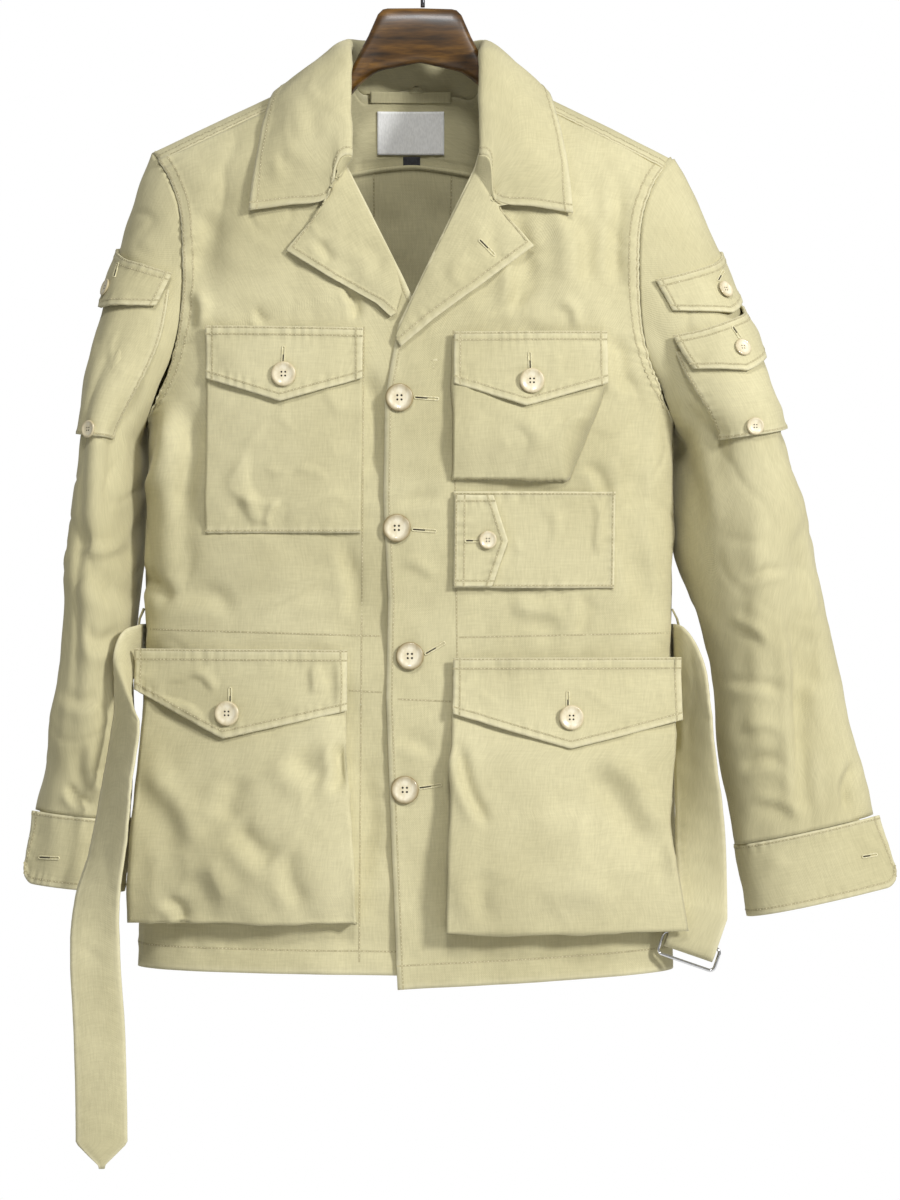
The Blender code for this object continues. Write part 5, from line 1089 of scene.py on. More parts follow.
def collar(columns=171, rows=44):
    """Stand, fold and fall in one folded sheet, from the right point round the neck to the left point."""
    alongs = np.linspace(-1, 1, columns)
    sides = np.where(alongs < 0, RIGHT, LEFT)
    places = {name: through(COLLAR["along"], COLLAR[name], np.abs(alongs)) for name in COLLAR}
    folds = points(sides * places["fold_x"] + COLLAR_MIDDLE, places["fold_y"], places["fold_z"])
    fold_lines = unit(np.gradient(folds, axis=0))
    grid = []
    for number, (along, side, fold) in enumerate(zip(alongs, sides, folds)):
        at = {name: column[number] for name, column in places.items()}
        neck_x = side * (at["neck_x"] - STAND_IN) + NECK_SHIFT
        stand = lifted(over_shoulder, neck_x, at["neck_turn"], STAND_LIFT, -1.0)
        edge = lifted(over_shoulder, side * at["edge_x"], at["edge_turn"], at["lift"], -1.0)
        bend = rounded_fold(fold, fold - stand, edge - fold, fold_lines[number], COLLAR_FOLD_RADIUS)
        notch_share = smooth((abs(along) - NOTCH_FROM) / NOTCH_RUN)
        notch_turn = turn_at(*COLLAR_NOTCH, FRONT)
        notch = lifted(over_shoulder, side * COLLAR_NOTCH[0], notch_turn, NOTCH_LIFT, -1.0)
        straight = mix(bend[-1], edge, FALL_SHARES[:, None])
        bulge = np.array([0.0, np.sign(edge[1]) * FALL_BULGE_OUT, FALL_BULGE_UP])
        bent = np.array([notch, mix(notch, edge, 0.5)])
        middle = mix(straight + bulge, bent, notch_share)
        bends = np.vstack([stand, mix(stand, fold, 0.5), bend, middle, edge])
        grid.append(finer(bends, rows))
    COLLAR_ENDS[RIGHT], COLLAR_ENDS[LEFT] = grid[0], grid[-1]
    grid = eased(np.array(grid), columns // 2, reach=16, passes=60)
    sheet("collar", grid, KHAKI, thickness=DOUBLED_CLOTH, flip=True)


def gorge(side, columns):
    """The collar's front end from its fold out to the notch, where the lapel is sewn to it."""
    end = COLLAR_ENDS[side]
    fold = int(np.argmin(end[:, 0] * side))
    notch_x, notch_z = COLLAR_NOTCH
    notch = int(np.argmin(np.hypot(end[:, 0] - side * notch_x, end[:, 2] - notch_z)))
    return evenly(end[fold:notch + 1], columns)


def lapel(side, rows=76, columns=48, gorge_rows=8):
    data = LAPEL[side]
    grid = []
    for along in np.linspace(0, 1, rows):
        at = {name: np.interp(along, data["along"], data[name]) for name in data}
        share = np.linspace(0, 1, columns)
        width = math.hypot(at["edge_x"] - at["roll_x"], at["edge_z"] - at["roll_z"])
        roll = LAPEL_ROLL * min(1.0, width / LAPEL_FULL_WIDTH)
        lift = DOUBLED_CLOTH + PIECE_GAP + roll * np.sin(np.pi * share ** LAPEL_ROLL_POWER)
        lift += LAPEL_EDGE_LIFT * share
        x, z = mix(at["roll_x"], at["edge_x"], share), mix(at["roll_z"], at["edge_z"], share)
        grid.append(lifted(front_surface(side), x, z, lift, 1.0))
    seam = gorge(side, columns)
    bridge = [mix(seam, grid[0], float(smooth(step / gorge_rows))) for step in range(gorge_rows)]
    grid = np.array(bridge + grid)
    sheet(f"lapel_{SIDE_NAMES[side]}", grid, KHAKI, thickness=DOUBLED_CLOTH, flip=side == LEFT)


# Sleeves

def armhole_ring(side, around):
    """The armhole's closed edge; around 0 is the shoulder tip, 0.5 the underarm, the front comes first."""
    around = np.mod(around, 1.0)
    front_half = around <= 0.5
    share = np.where(front_half, around * 2, (1 - around) * 2)
    ahead = front(*armhole(side, share, FRONT))
    behind = back(*armhole(side, share, BACK))
    ring = np.where(front_half[..., None], ahead, behind)
    return ring + points(side * ARMHOLE_GAP, 0.0, 0.0)


def sleeve_tube(side, around, along):
    """The sleeve below its cap."""
    data = SLEEVE[side]
    at = {name: through(data["along"], data[name], along) for name in data}
    angle = 2 * np.pi * around
    out = at["half_width"] * squared(np.cos(angle), 2 / SLEEVE_POWER)
    ahead = at["half_depth"] * squared(np.sin(angle), 2 / SLEEVE_POWER)
    twist, tilt = np.radians(at["twist"]), np.radians(at["tilt"])
    outward = out * np.cos(twist) + ahead * np.sin(twist)
    forward = ahead * np.cos(twist) - out * np.sin(twist)
    x = at["x"] + side * outward * np.cos(tilt)
    z = at["z"] + outward * np.sin(tilt)
    return points(x, at["y"] - forward, z)


def sleeve(side):
    """The whole sleeve as a surface: its cap springs from the armhole and runs into the tube."""
    columns = ("around_from", "along_from", "around_to", "along_to")

    def surface(around, along):
        around, along = np.broadcast_arrays(np.asarray(around, float), np.asarray(along, float))
        tube = sleeve_tube(side, around, np.maximum(along, SLEEVE_CAP))
        ring = armhole_ring(side, around)
        end = sleeve_tube(side, around, np.full(around.shape, SLEEVE_CAP))
        run = end - ring
        heading = unit(sleeve_tube(side, around, np.full(around.shape, SLEEVE_CAP + CAP_STEP)) - end)
        outer = smooth((np.cos(2 * np.pi * around) + CAP_OUTER) / (1 + CAP_OUTER))
        leave = run + points(side * SLEEVE_BULGE[side] * outer, 0.0, 0.0)
        arrive = heading * np.linalg.norm(run, axis=-1, keepdims=True)
        share = np.clip(along / SLEEVE_CAP, 0.0, 1.0)[..., None]
        cap = curved(share, ring, leave, end, arrive)
        base = np.where((along < SLEEVE_CAP)[..., None], cap, tube)
        height = fold_height(SLEEVE_FOLDS[side], columns, np.mod(around, 1.0), along)
        spread = points(side * np.cos(2 * np.pi * around), -np.sin(2 * np.pi * around), 0.0)
        return base + spread * height[..., None]
    return surface


def sleeve_piece(side, rings=180, columns=121):
    along, around = np.meshgrid(np.linspace(0, 1, rings), np.linspace(0, 1, columns), indexing="ij")
    grid = sleeve(side)(around, along)
    sheet(f"sleeve_{SIDE_NAMES[side]}", grid, KHAKI, closed=True, flip=side == RIGHT)


def cuff(side, rows=30, columns=120):
    around = np.radians(np.linspace(CUFF_FROM, CUFF_TO, columns)) / (2 * np.pi)
    top = sleeve_tube(side, around, np.ones(columns))
    start = top[0] + unit(top[0] - top[1]) * CUFF_FRONT_REACH[side]
    end = top[-1] + unit(top[-1] - top[-2]) * CUFF_BACK_REACH
    path = evenly(np.vstack([start, top, end]), columns)
    run = np.linspace(0, run_along(path)[-1], columns)
    tilt = math.radians(SLEEVE[side]["tilt"][-1])
    down = np.array([side * math.sin(tilt), 0.0, -math.cos(tilt)])
    corner = np.clip(CUFF_CORNER - run, 0.0, CUFF_CORNER)
    height = CUFF_HEIGHT - (CUFF_CORNER - np.sqrt(CUFF_CORNER ** 2 - corner ** 2))
    middle = path.mean(axis=0)
    grid = []
    for share in np.linspace(0, 1, rows):
        spread = (path - middle) * CUFF_FLARE * share
        grid.append(path + spread + down * (PIECE_GAP + height[:, None] * share))
    sheet(f"cuff_{SIDE_NAMES[side]}", np.array(grid), KHAKI, thickness=DOUBLED_CLOTH, flip=side == RIGHT)


def along_at(side, around, z):
    """Share of the way down the sleeve at given heights."""
    steps = np.linspace(0, SEARCH_END, SEARCH_STEPS)
    heights = sleeve(side)(around[..., None], steps)[..., 2]
    below = np.maximum(np.argmax(heights <= z[..., None], axis=-1), 1)
    upper = np.take_along_axis(heights, below[..., None] - 1, axis=-1)[..., 0]
    lower = np.take_along_axis(heights, below[..., None], axis=-1)[..., 0]
    return steps[below - 1] + (upper - z) / (upper - lower) * steps[1]


def sleeve_area(data, rows, columns):
    """Places round the sleeve and down the piece, from its front edge to its back edge."""
    share = np.linspace(0, 1, columns)
    down = np.linspace(0, 1, rows)[:, None]
    return mix(mix(data["front"][0], data["front"][1], down), data["back"], share), share, down


def sleeve_patch(side, rows=48, columns=56):
    data = SLEEVE_PATCH[side]
    around, share, down = sleeve_area(data, rows, columns)
    z = mix(mix(*data["top"], share), mix(*data["bottom"], share), down)
    grid = lifted(sleeve(side), around, along_at(side, around, z), SLEEVE_PATCH_LIFT, side)
    sheet(f"sleeve_pocket_{SIDE_NAMES[side]}", grid, KHAKI, flip=side == LEFT)


def sleeve_flap(name, data, rows=26, columns=54):
    side = data["side"]
    around, share, down = sleeve_area(data, rows, columns)
    point_share = (data["front"][1] - data["point"][0]) / (data["front"][1] - data["back"])
    bottom_z = [data["bottom"][0], data["point"][1], data["bottom"][1]]
    bottom = np.interp(share, [0.0, point_share, 1.0], bottom_z)
    z = mix(mix(*data["top"], share), bottom, down)
    lift = mix(*data["lift"], smooth(down / FLAP_LIFT_RUN))
    grid = lifted(sleeve(side), around, along_at(side, around, z), lift, side)
    sheet(name, grid, KHAKI, thickness=DOUBLED_CLOTH, flip=side == LEFT)


# Pockets and flaps on the fronts

def swell(data, across, down):
    """Lift of a flat pocket, which swells towards its middle."""
    low, high = data["lift"]
    rise = np.sin(np.pi * across) * np.sin(np.pi * mix(POCKET_TOP_SWELL, 1.0, down))
    return low + (high - low) * rise


def flat_pocket(name, data, side, rows=70, columns=62):
    x, z = np.meshgrid(np.linspace(*data["x"], columns), np.linspace(*data["z"], rows))
    across, down = np.meshgrid(np.linspace(0, 1, columns), np.linspace(0, 1, rows))
    grid = lifted(front_surface(side), x, z, swell(data, across, down), 1.0)
    sheet(name, grid, KHAKI, flip=True)


def pocket_base(side):
    """The front, kept from turning away towards the side seam under a bellows pocket."""
    def surface(x, z):
        held = np.clip(x, -POCKET_FLAT_HALF, POCKET_FLAT_HALF)
        beyond = x - held
        return front_surface(side)(held, z) + points(beyond, np.abs(beyond) * POCKET_SIDE_TURN, 0.0)
    return surface


def bellows_pocket(name, data, side, sewn_lift, rows=70, columns=64):
    """Front wall with gussets turned back to the sewn edges at both sides and the bottom."""
    levels = np.linspace(data["z"].max(), data["z"].min(), rows)
    grid = []
    for z in levels:
        at = {key: through(data["z"], data[key], z) for key in data}
        x = np.linspace(at["wall_left"], at["wall_right"], columns)
        belly = BELLOWS_BELLY * np.sin(np.pi * np.linspace(0, 1, columns))
        wall = lifted(pocket_base(side), x, z, at["lift"] + belly, 1.0)
        left = lifted(front_surface(side), at["sewn_left"], z, sewn_lift, 1.0)
        right = lifted(front_surface(side), at["sewn_right"], z, sewn_lift, 1.0)
        grid.append(np.vstack([left, wall, right]))
    low = float(data["z"].min())
    x = np.linspace(data["sewn_left"][0], data["sewn_right"][0], columns + 2)
    grid.append(lifted(front_surface(side), x, low - BELLOWS_DROP, sewn_lift, 1.0))
    sheet(name, np.array(grid), KHAKI, flip=True)


def flap(name, data, surface, lift, rows=34, columns=75):
    share = np.linspace(0, 1, columns)
    x_line = mix(data["x"][0], data["x"][1], share)
    point_x, point_z = data["point"]
    left_z, right_z = data["corner"]
    bottom = np.where(x_line < point_x,
                      mix(left_z, point_z, (x_line - data["x"][0]) / (point_x - data["x"][0])),
                      mix(right_z, point_z, (data["x"][1] - x_line) / (data["x"][1] - point_x)))
    top = mix(data["top"][0], data["top"][1], share)
    down = np.linspace(0, 1, rows)[:, None]
    z = mix(top, bottom, down)
    x = np.broadcast_to(x_line, z.shape)
    grid = lifted(surface, x, z, lift(x, z), 1.0)
    sheet(name, grid, KHAKI, thickness=DOUBLED_CLOTH, flip=True)


def over_flat_pocket(data):
    """Lift of a flap that lies over a flat pocket."""
    def lift(x, z):
        across = np.clip((x - data["x"][0]) / (data["x"][1] - data["x"][0]), 0.0, 1.0)
        down = np.clip((z - data["z"][0]) / (data["z"][1] - data["z"][0]), 0.0, 1.0)
        return swell(data, across, down) + FLAP_OVER
    return lift


def over_bellows_pocket(data):
    """Lift of a flap that lies over a bellows pocket."""
    def lift(x, z):
        span = data["wall_right"].max() - data["wall_left"].min()
        across = np.clip((x - data["wall_left"].min()) / span, 0.0, 1.0)
        wall = through(data["z"], data["lift"], z)
        return wall + BELLOWS_BELLY * np.sin(np.pi * across) + FLAP_OVER
    return lift


def small_flap(rows=49, columns=26):
    """A flap that closes the small pocket from its side."""
    down = np.linspace(0, 1, rows)[:, None]
    tip = 1 - np.abs(2 * down - 1)
    z = mix(SMALL_FLAP["z"][0], SMALL_FLAP["z"][1], down)
    reach = mix(SMALL_FLAP["x"][1], SMALL_FLAP["point"], tip)
    across = np.linspace(0, 1, columns)
    x = mix(SMALL_FLAP["x"][0], reach, across)
    z = np.broadcast_to(z, x.shape)
    grid = lifted(front_surface(LEFT), x, z, over_flat_pocket(SMALL_POCKET)(x, z), 1.0)
    sheet("small_flap", grid, KHAKI, thickness=DOUBLED_CLOTH, flip=True)


# Belt, loops and buckle

def buckle_frame():
    """Axis place, direction along the bars, direction down the rings, direction to the front."""
    tilt = math.radians(BUCKLE_TILT)
    bar = np.array([math.cos(tilt), 0.0, -math.sin(tilt)])
    down = np.array([-math.sin(tilt), 0.0, -math.cos(tilt)])
    return np.array(BUCKLE_AXIS), bar, down, np.array([0.0, -1.0, 0.0])


BELT_COLUMNS = "x y z wide_x wide_y wide_z"
BELT_TAIL = table(
    BELT_COLUMNS,
    (-0.2605, -0.0855, -1.0215, -1.0, 0.00, 0.0), (-0.2605, -0.0860, -0.9950, -1.0, 0.00, 0.0),
    (-0.2622, -0.0870, -0.9100, -1.0, 0.00, 0.0), (-0.2655, -0.0865, -0.8500, -0.98, 0.15, 0.1),
    (-0.2650, -0.0840, -0.8050, -0.90, 0.40, 0.1), (-0.2560, -0.0800, -0.7550, -0.70, 0.70, 0.0),
    (-0.2475, -0.0780, -0.7000, -0.55, 0.80, 0.1), (-0.2420, -0.0720, -0.6520, -0.50, 0.75, 0.4),
    (-0.2450, -0.0650, -0.6220, -0.40, 0.30, 0.85), (-0.2425, -0.0460, -0.6050, -0.15, 0.0, 0.99),
    (-0.2370, -0.0260, -0.6010, 0.0, 0.0, 1.0), (-0.2345, -0.0100, -0.6000, 0.0, 0.0, 1.0),
)
BELT_DROP = table(
    BELT_COLUMNS,
    (0.2107, -0.0100, -0.6000, 0.0, 0.0, 1.0), (0.2140, -0.0200, -0.6020, 0.10, -0.05, 0.98),
    (0.2200, -0.0290, -0.6180, 0.40, -0.35, 0.80), (0.2235, -0.0340, -0.6550, 0.60, -0.70, 0.35),
    (0.2260, -0.0370, -0.7000, 0.80, -0.58, 0.10), (0.2290, -0.0410, -0.7500, 0.94, -0.30, 0.00),
    (0.2305, -0.0450, -0.7900, 0.96, -0.08, -0.22),
)


def belt_run(data):
    """Middle of the strap and the direction across it, from a table."""
    return (points(data["x"], data["y"], data["z"]),
            points(data["wide_x"], data["wide_y"], data["wide_z"]))


def belt_behind(count=25):
    """Middle of the strap round the back, from side seam to side seam."""
    half = float(torso_at("half_width", BELT_Z))
    middle = float(torso_at("middle", BELT_Z))
    share = np.sin(np.linspace(-np.pi / 2, np.pi / 2, ROW_STEPS + 1))[1:-1]
    behind = lifted(back, share * half, BELT_Z, BELT_LIFT, -1.0)
    ends = points(middle + np.array([-1.0, 1.0]) * (half + BELT_LIFT), BELT_END_Y, BELT_Z)
    return evenly(np.vstack([ends[0], behind, ends[1]]), count)


def belt_fold():
    """Middle of the strap's end, folded round the rings' upper bars."""
    axis, _, down, ahead = buckle_frame()
    fold = [axis - down * FOLD_RISE + ahead * FOLD_RADIUS, axis + ahead * FOLD_RADIUS]
    bottom = axis + down * FOLD_DROP
    for angle in np.radians([0, 45, 90, 135, 180]):
        fold.append(bottom + (ahead * math.cos(angle) + down * math.sin(angle)) * FOLD_RADIUS)
    fold.append(axis - ahead * FOLD_RADIUS)
    inside = FOLD_RADIUS - BELT_CLOTH - PIECE_GAP
    fold.append(axis - down * FOLD_RISE * FOLD_TUCK + ahead * inside)
    return fold


def belt(rows=380, columns=15):
    """One long strap: pointed tail, round the back, and an end folded round the rings."""
    tail, tail_wide = belt_run(BELT_TAIL)
    behind = belt_behind()
    drop, drop_wide = belt_run(BELT_DROP)
    fold = belt_fold()
    _, bar, _, _ = buckle_frame()
    upright = np.tile([0.0, 0.0, 1.0], (len(behind), 1))
    centre = np.vstack([tail, behind, drop, fold[0]])
    wide = np.vstack([tail_wide, upright, drop_wide, bar])
    run = run_along(centre)
    at = np.linspace(0, run[-1], rows)
    path = np.vstack([through(run, centre, at), fold[1:]])
    across = np.vstack([unit(through(run, wide, at)), np.tile(bar, (len(fold) - 1, 1))])
    length = np.concatenate([at, np.full(len(fold) - 1, run[-1])])
    taper = np.clip(length / BELT_POINT, BELT_POINT_WIDTH, 1.0)[:, None]
    shares = np.linspace(-0.5, 0.5, columns)
    grid = np.stack([path + across * taper * BELT_WIDTH * share for share in shares], axis=1)
    sheet("belt", grid, KHAKI, thickness=BELT_CLOTH, offset=0.0)


def at_side_seam(side):
    """Edge of a belt loop at a side seam."""
    def place(y, z, bow):
        x = torso_at("middle", z) + side * (torso_at("half_width", z) + CLOTH + PIECE_GAP + bow)
        return points(x, y, z)
    return place


def at_back_middle(x, z, bow):
    """Edge of the belt loop at the middle of the back."""
    return lifted(back, x, z, CLOTH + 2 * PIECE_GAP + bow, -1.0)


def belt_loop(name, place, flip):
    """A narrow strap that the belt runs through."""
    z = np.linspace(BELT_Z + LOOP_HALF_HEIGHT, BELT_Z - LOOP_HALF_HEIGHT, LOOP_STEPS)
    bow = LOOP_BOW * np.sin(np.pi * np.linspace(0, 1, LOOP_STEPS)) ** 0.5
    edges = [place(edge, z, bow) for edge in (-LOOP_HALF_WIDTH, LOOP_HALF_WIDTH)]
    sheet(name, np.array(edges), KHAKI, flip=flip)


# Inside the neck

def inside_yoke(x, z):
    """The inner face of the yoke at the back of the neck."""
    return lifted(back, x, z, -CLOTH, -1.0)


def neck_trim(name, x_span, z_top, z_drop, surface_material, slot, rows=20, columns=36):
    x, z = np.meshgrid(np.linspace(*x_span, columns), np.linspace(z_top, z_top - z_drop, rows))
    grid = inside_yoke(x, z) + points(0.0, -TRIM_GAP, 0.0)
    sheet(name, grid, surface_material, thickness=TRIM_CLOTH, slot=slot)


# Tubes: wire, thread and buttonhole edges

NO_TUBE_AHEAD = (0.31, 0.87, 0.38)


def tube_mesh(name, path, radius, closed, sides=8):
    """A round tube along a path, closed on itself or capped at its ends."""
    path = np.asarray(path, dtype=float)
    radius = np.broadcast_to(radius, len(path))
    ahead = np.roll(path, -1, axis=0) - np.roll(path, 1, axis=0)
    if not closed:
        ahead[0], ahead[-1] = path[1] - path[0], path[-1] - path[-2]
    ahead = unit(ahead)
    side = unit(np.cross(ahead[0], NO_TUBE_AHEAD))
    rings = []
    for place, direction, size in zip(path, ahead, radius):
        side = unit(side - direction * (side @ direction))
        other = np.cross(direction, side)
        angle = 2 * np.pi * np.arange(sides)[:, None] / sides
        rings.append(place + size * (side * np.cos(angle) + other * np.sin(angle)))
    count = len(path)
    index = np.arange(count * sides).reshape(count, sides)
    last = count if closed else count - 1
    faces = []
    for here in range(last):
        after = (here + 1) % count
        turn = range(sides)
        if closed and here == count - 1:
            gaps = np.linalg.norm(rings[0] - rings[-1][0], axis=1)
            shift = int(np.argmin(gaps))
            turn = [(step + shift) % sides for step in range(sides)]
        for step in range(sides):
            a, b = index[here, step], index[here, (step + 1) % sides]
            c, d = index[after, turn[(step + 1) % sides]], index[after, turn[step]]
            faces.append((int(a), int(b), int(c), int(d)))
    if not closed:
        faces += [tuple(map(int, index[0, ::-1])), tuple(map(int, index[-1]))]
    return mesh_of(name, np.concatenate(rings).tolist(), faces)


# Stitch lines away from the edges: carrier, ends in the frame's x and z, and the side they show on
INSIDE_LIFT = CLOTH + 0.0002
SEAM_LINES = table_of(
    "carrier x_from z_from x_to z_to side lift",
    ("front_left", 0.0255, -0.338, 0.0290, -0.640, FRONT, 0.0),
    ("front_right", -0.0478, -0.335, -0.0515, -0.855, FRONT, 0.0),
    ("front_right", -0.2260, -0.5830, -0.0340, -0.5885, FRONT, 0.0),
    ("front_right", -0.0600, -0.6330, -0.0330, -0.6345, FRONT, 0.0),
    ("front_left", 0.0300, -0.5895, 0.2060, -0.5860, FRONT, 0.0),
    ("front_left", -0.0200, -0.6400, 0.0240, -0.6420, FRONT, 0.0),
    ("back", -0.2180, -0.5860, 0.1960, -0.5860, BACK, 0.0),
    ("back", -0.2180, -0.6360, 0.1960, -0.6360, BACK, 0.0),
    ("belt", 0.2180, -0.8190, 0.2420, -0.8270, FRONT, 0.0),
    ("belt", 0.2180, -0.8120, 0.2420, -0.8200, FRONT, 0.0),
    ("back", -0.0420, -0.1960, -0.0425, -0.3200, FRONT, INSIDE_LIFT),
    ("back", 0.0240, -0.1960, 0.0235, -0.3200, FRONT, INSIDE_LIFT),
)
SEAM_LINE_STEP = 0.003


def seam_line(line):
    """Points along a straight stitch line, laid on its carrier."""
    count = int(math.hypot(line["x_to"] - line["x_from"], line["z_to"] - line["z_from"]) / SEAM_LINE_STEP)
    x = np.linspace(line["x_from"], line["x_to"], count)
    z = np.linspace(line["z_from"], line["z_to"], count)
    path, facing = dropped(line["carrier"], x, z, line["side"])
    return path + facing * line["lift"], facing


# Buttonholes: carrier, middle in the frame's x and z, turn in degrees and length
HOLE_HALF, HOLE_THREAD, HOLE_RISE = 0.0011, 0.0006, 0.0002
SLIT_HALF, SLIT_RISE, SLIT_TO = 0.0004, 0.0001, 0.1
THREAD_LUMP, THREAD_LUMP_RATE = 0.22, 2.3
BUTTONHOLES = table_of(
    "carrier x z turn length",
    ("front_left", 0.0035, -0.3938, -4.0, 0.0200),
    ("front_left", 0.0015, -0.5018, -4.0, 0.0200),
    ("front_left", 0.0105, -0.5985, 30.0, 0.0190),
    ("front_left", 0.0065, -0.7112, 8.0, 0.0190),
    ("breast_flap_right", -0.1135, -0.3590, 88.0, 0.0150),
    ("breast_flap_left", 0.0880, -0.3640, 92.0, 0.0150),
    ("lower_flap_right", -0.1570, -0.6380, 90.0, 0.0150),
    ("lower_flap_left", 0.1190, -0.6410, 90.0, 0.0150),
    ("small_flap", 0.0410, -0.5105, 0.0, 0.0120),
    ("sleeve_flap_right", -0.2535, -0.2860, 80.0, 0.0130),
    ("sleeve_flap_left_upper", 0.2470, -0.2905, 60.0, 0.0110),
    ("sleeve_flap_left_lower", 0.2580, -0.3390, -58.0, 0.0120),
    ("lapel_left", 0.0530, -0.2705, -45.0, 0.0180),
    ("cuff_right", -0.3080, -0.7715, 0.0, 0.0180),
    ("cuff_left", 0.3700, -0.7705, 8.0, 0.0130),
)


def buttonhole(number, hole):
    """A worked buttonhole: a raised thread edge all round a closed slit, the slit drawn as a thin dark tube
    of painted shade.
    """
    angle = math.radians(hole["turn"])
    ahead = np.array([math.cos(angle), math.sin(angle)])
    aside = np.array([-math.sin(angle), math.cos(angle)])
    straight = hole["length"] / 2 - HOLE_HALF
    round_end = np.radians(np.linspace(-90, 90, 9))[:, None]
    end = ahead * (straight + HOLE_HALF * np.cos(round_end)) + aside * HOLE_HALF * np.sin(round_end)
    side = ahead * np.linspace(straight, -straight, 40)[1:-1, None] + aside * HOLE_HALF
    outline = np.concatenate([end, side, -end, -side])
    middle = np.array([hole["x"], hole["z"]])
    path, facing = dropped(hole["carrier"], *(middle + outline).T)
    thread = HOLE_THREAD * (1 + THREAD_LUMP * np.sin(np.arange(len(path)) * THREAD_LUMP_RATE))
    edge = tube_mesh(f"buttonhole_{number}", path + facing * HOLE_RISE, thread, closed=True, sides=6)
    add_piece(f"buttonhole_{number}", edge, THREAD)
    # The slit is a thin tube in painted shade, standing for the shadow inside the cut
    opening = ahead * np.linspace(-straight, SLIT_TO * straight, 12)[:, None]
    slit, up = dropped(hole["carrier"], *(middle + opening).T)
    slit_name = f"buttonhole_slit_{number}"
    line = tube_mesh(slit_name, slit + up * SLIT_RISE, SLIT_HALF, closed=False, sides=6)
    add_piece(slit_name, line, PAINTED_HOLE_SHADE)


# Buttons

BUTTON_STEPS, HOLE_STEPS = 48, 12
BUTTON_PROFILE = table(
    "radius height",
    (0.0, 0.60), (0.40, 0.61), (0.58, 0.68), (0.70, 0.86), (0.80, 0.98), (0.88, 1.00),
    (0.95, 0.90), (1.0, 0.62), (0.97, 0.36), (0.88, 0.12), (0.74, 0.0), (0.0, 0.0),
)
BUTTON_HOLE_OUT, BUTTON_HOLE_RADIUS, BUTTON_HOLE_DEPTH = 0.150, 0.078, 0.45
BUTTON_DISH, CUTTER_OVER = 0.62, 0.5
BUTTON_SHARP_EDGE = 40
RIM_FROM, RIM_TO = 0.83, 0.90


def turned(name, radius, height, steps):
    """A mesh turned about Z from a profile that starts and ends on the axis."""
    angle = 2 * np.pi * np.arange(steps) / steps
    shape = bmesh.new()
    rings = []
    for reach, level in zip(radius, height):
        if reach == 0.0:
            rings.append([shape.verts.new((0.0, 0.0, level))])
        else:
            circle = points(reach * np.cos(angle), reach * np.sin(angle), level)
            rings.append([shape.verts.new(place) for place in circle])
    for upper, lower in zip(rings, rings[1:]):
        for step in range(steps):
            after = (step + 1) % steps
            corners = [upper[step % len(upper)], lower[step % len(lower)],
                       lower[after % len(lower)], upper[after % len(upper)]]
            shape.faces.new(list(dict.fromkeys(corners)))
    bmesh.ops.recalc_face_normals(shape, faces=shape.faces)
    made = bpy.data.meshes.new(name)
    shape.to_mesh(made)
    shape.free()
    return made


def button_mesh(radius, thick, surface_material):
    """A turned button with a rim, a shallow dish and four holes whose walls carry painted shade."""
    profile = BUTTON_PROFILE["radius"] * radius, BUTTON_PROFILE["height"] * thick
    solid = linked("button", turned("button", *profile, BUTTON_STEPS))
    solid.data.materials.append(surface_material)
    solid.data.materials.append(PAINTED_HOLE_SHADE)
    cutter_shape = bmesh.new()
    out, hole = BUTTON_HOLE_OUT * radius, BUTTON_HOLE_RADIUS * radius
    height = thick * (BUTTON_DISH - BUTTON_HOLE_DEPTH / 2 + CUTTER_OVER / 2)
    for x in (-out, out):
        for y in (-out, out):
            bmesh.ops.create_cone(cutter_shape, cap_ends=True, segments=HOLE_STEPS,
                                  radius1=hole, radius2=hole,
                                  depth=thick * (BUTTON_HOLE_DEPTH + CUTTER_OVER),
                                  matrix=Matrix.Translation((x, y, height)))
    cutter_mesh = bpy.data.meshes.new("holes")
    cutter_shape.to_mesh(cutter_mesh)
    cutter_shape.free()
    # The hole walls take a near-black colour: painted shade for the shadowed hollows
    cutter_mesh.materials.append(PAINTED_HOLE_SHADE)
    cutter = linked("holes", cutter_mesh)
    cut = solid.modifiers.new("holes", "BOOLEAN")
    cut.object, cut.operation, cut.material_mode = cutter, "DIFFERENCE", "TRANSFER"
    bpy.context.view_layer.update()
    ready = solid.evaluated_get(bpy.context.evaluated_depsgraph_get())
    made = bpy.data.meshes.new_from_object(ready)
    for thing in (solid, cutter):
        bpy.data.objects.remove(thing)
    made.shade_smooth()
    made.set_sharp_from_angle(angle=math.radians(BUTTON_SHARP_EDGE))
    return made


def button_seat(node):
    """Base, outward direction, radius and thickness of a button, from its node."""
    places = np.array([vert.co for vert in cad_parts[node].data.vertices])
    places = np.unique(places.round(7), axis=0)
    centre = (places.min(axis=0) + places.max(axis=0)) / 2
    _, _, axes = np.linalg.svd(places - places.mean(axis=0))
    normal = axes[2]
    height = (places - centre) @ normal
    aside = np.linalg.norm(places - centre - height[:, None] * normal, axis=1)
    radius = aside.max()
    rim = height[(aside > RIM_FROM * radius) & (aside < RIM_TO * radius)].mean()
    if rim < height.mean():
        normal, height = -normal, -height
    middle = (places - (places @ normal)[:, None] * normal).mean(axis=0)
    base = middle + normal * (places @ normal).min()
    return base, normal, radius, np.ptp(height)


def buttons():
    """A detailed button in place of each plain one."""
    shapes = {}
    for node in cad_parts:
        if "button" not in node:
            continue
        base, normal, radius, thick = button_seat(node)
        size = round(radius, 4)
        if size not in shapes:
            rim = FRONT_BUTTON_RIM if "front" in node else POCKET_BUTTON_RIM
            shapes[size] = button_mesh(radius, thick, horn(f"horn of {node}", HORN_MIDDLE, rim, radius))
        thing = linked(node + "_turned", shapes[size])
        facing = Vector(normal).to_track_quat("Z", "Y").to_matrix().to_4x4()
        thing.matrix_world = Matrix.Translation(base) @ facing
        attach(thing, "jacket")
        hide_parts(node)


# Buckle rings and hanger

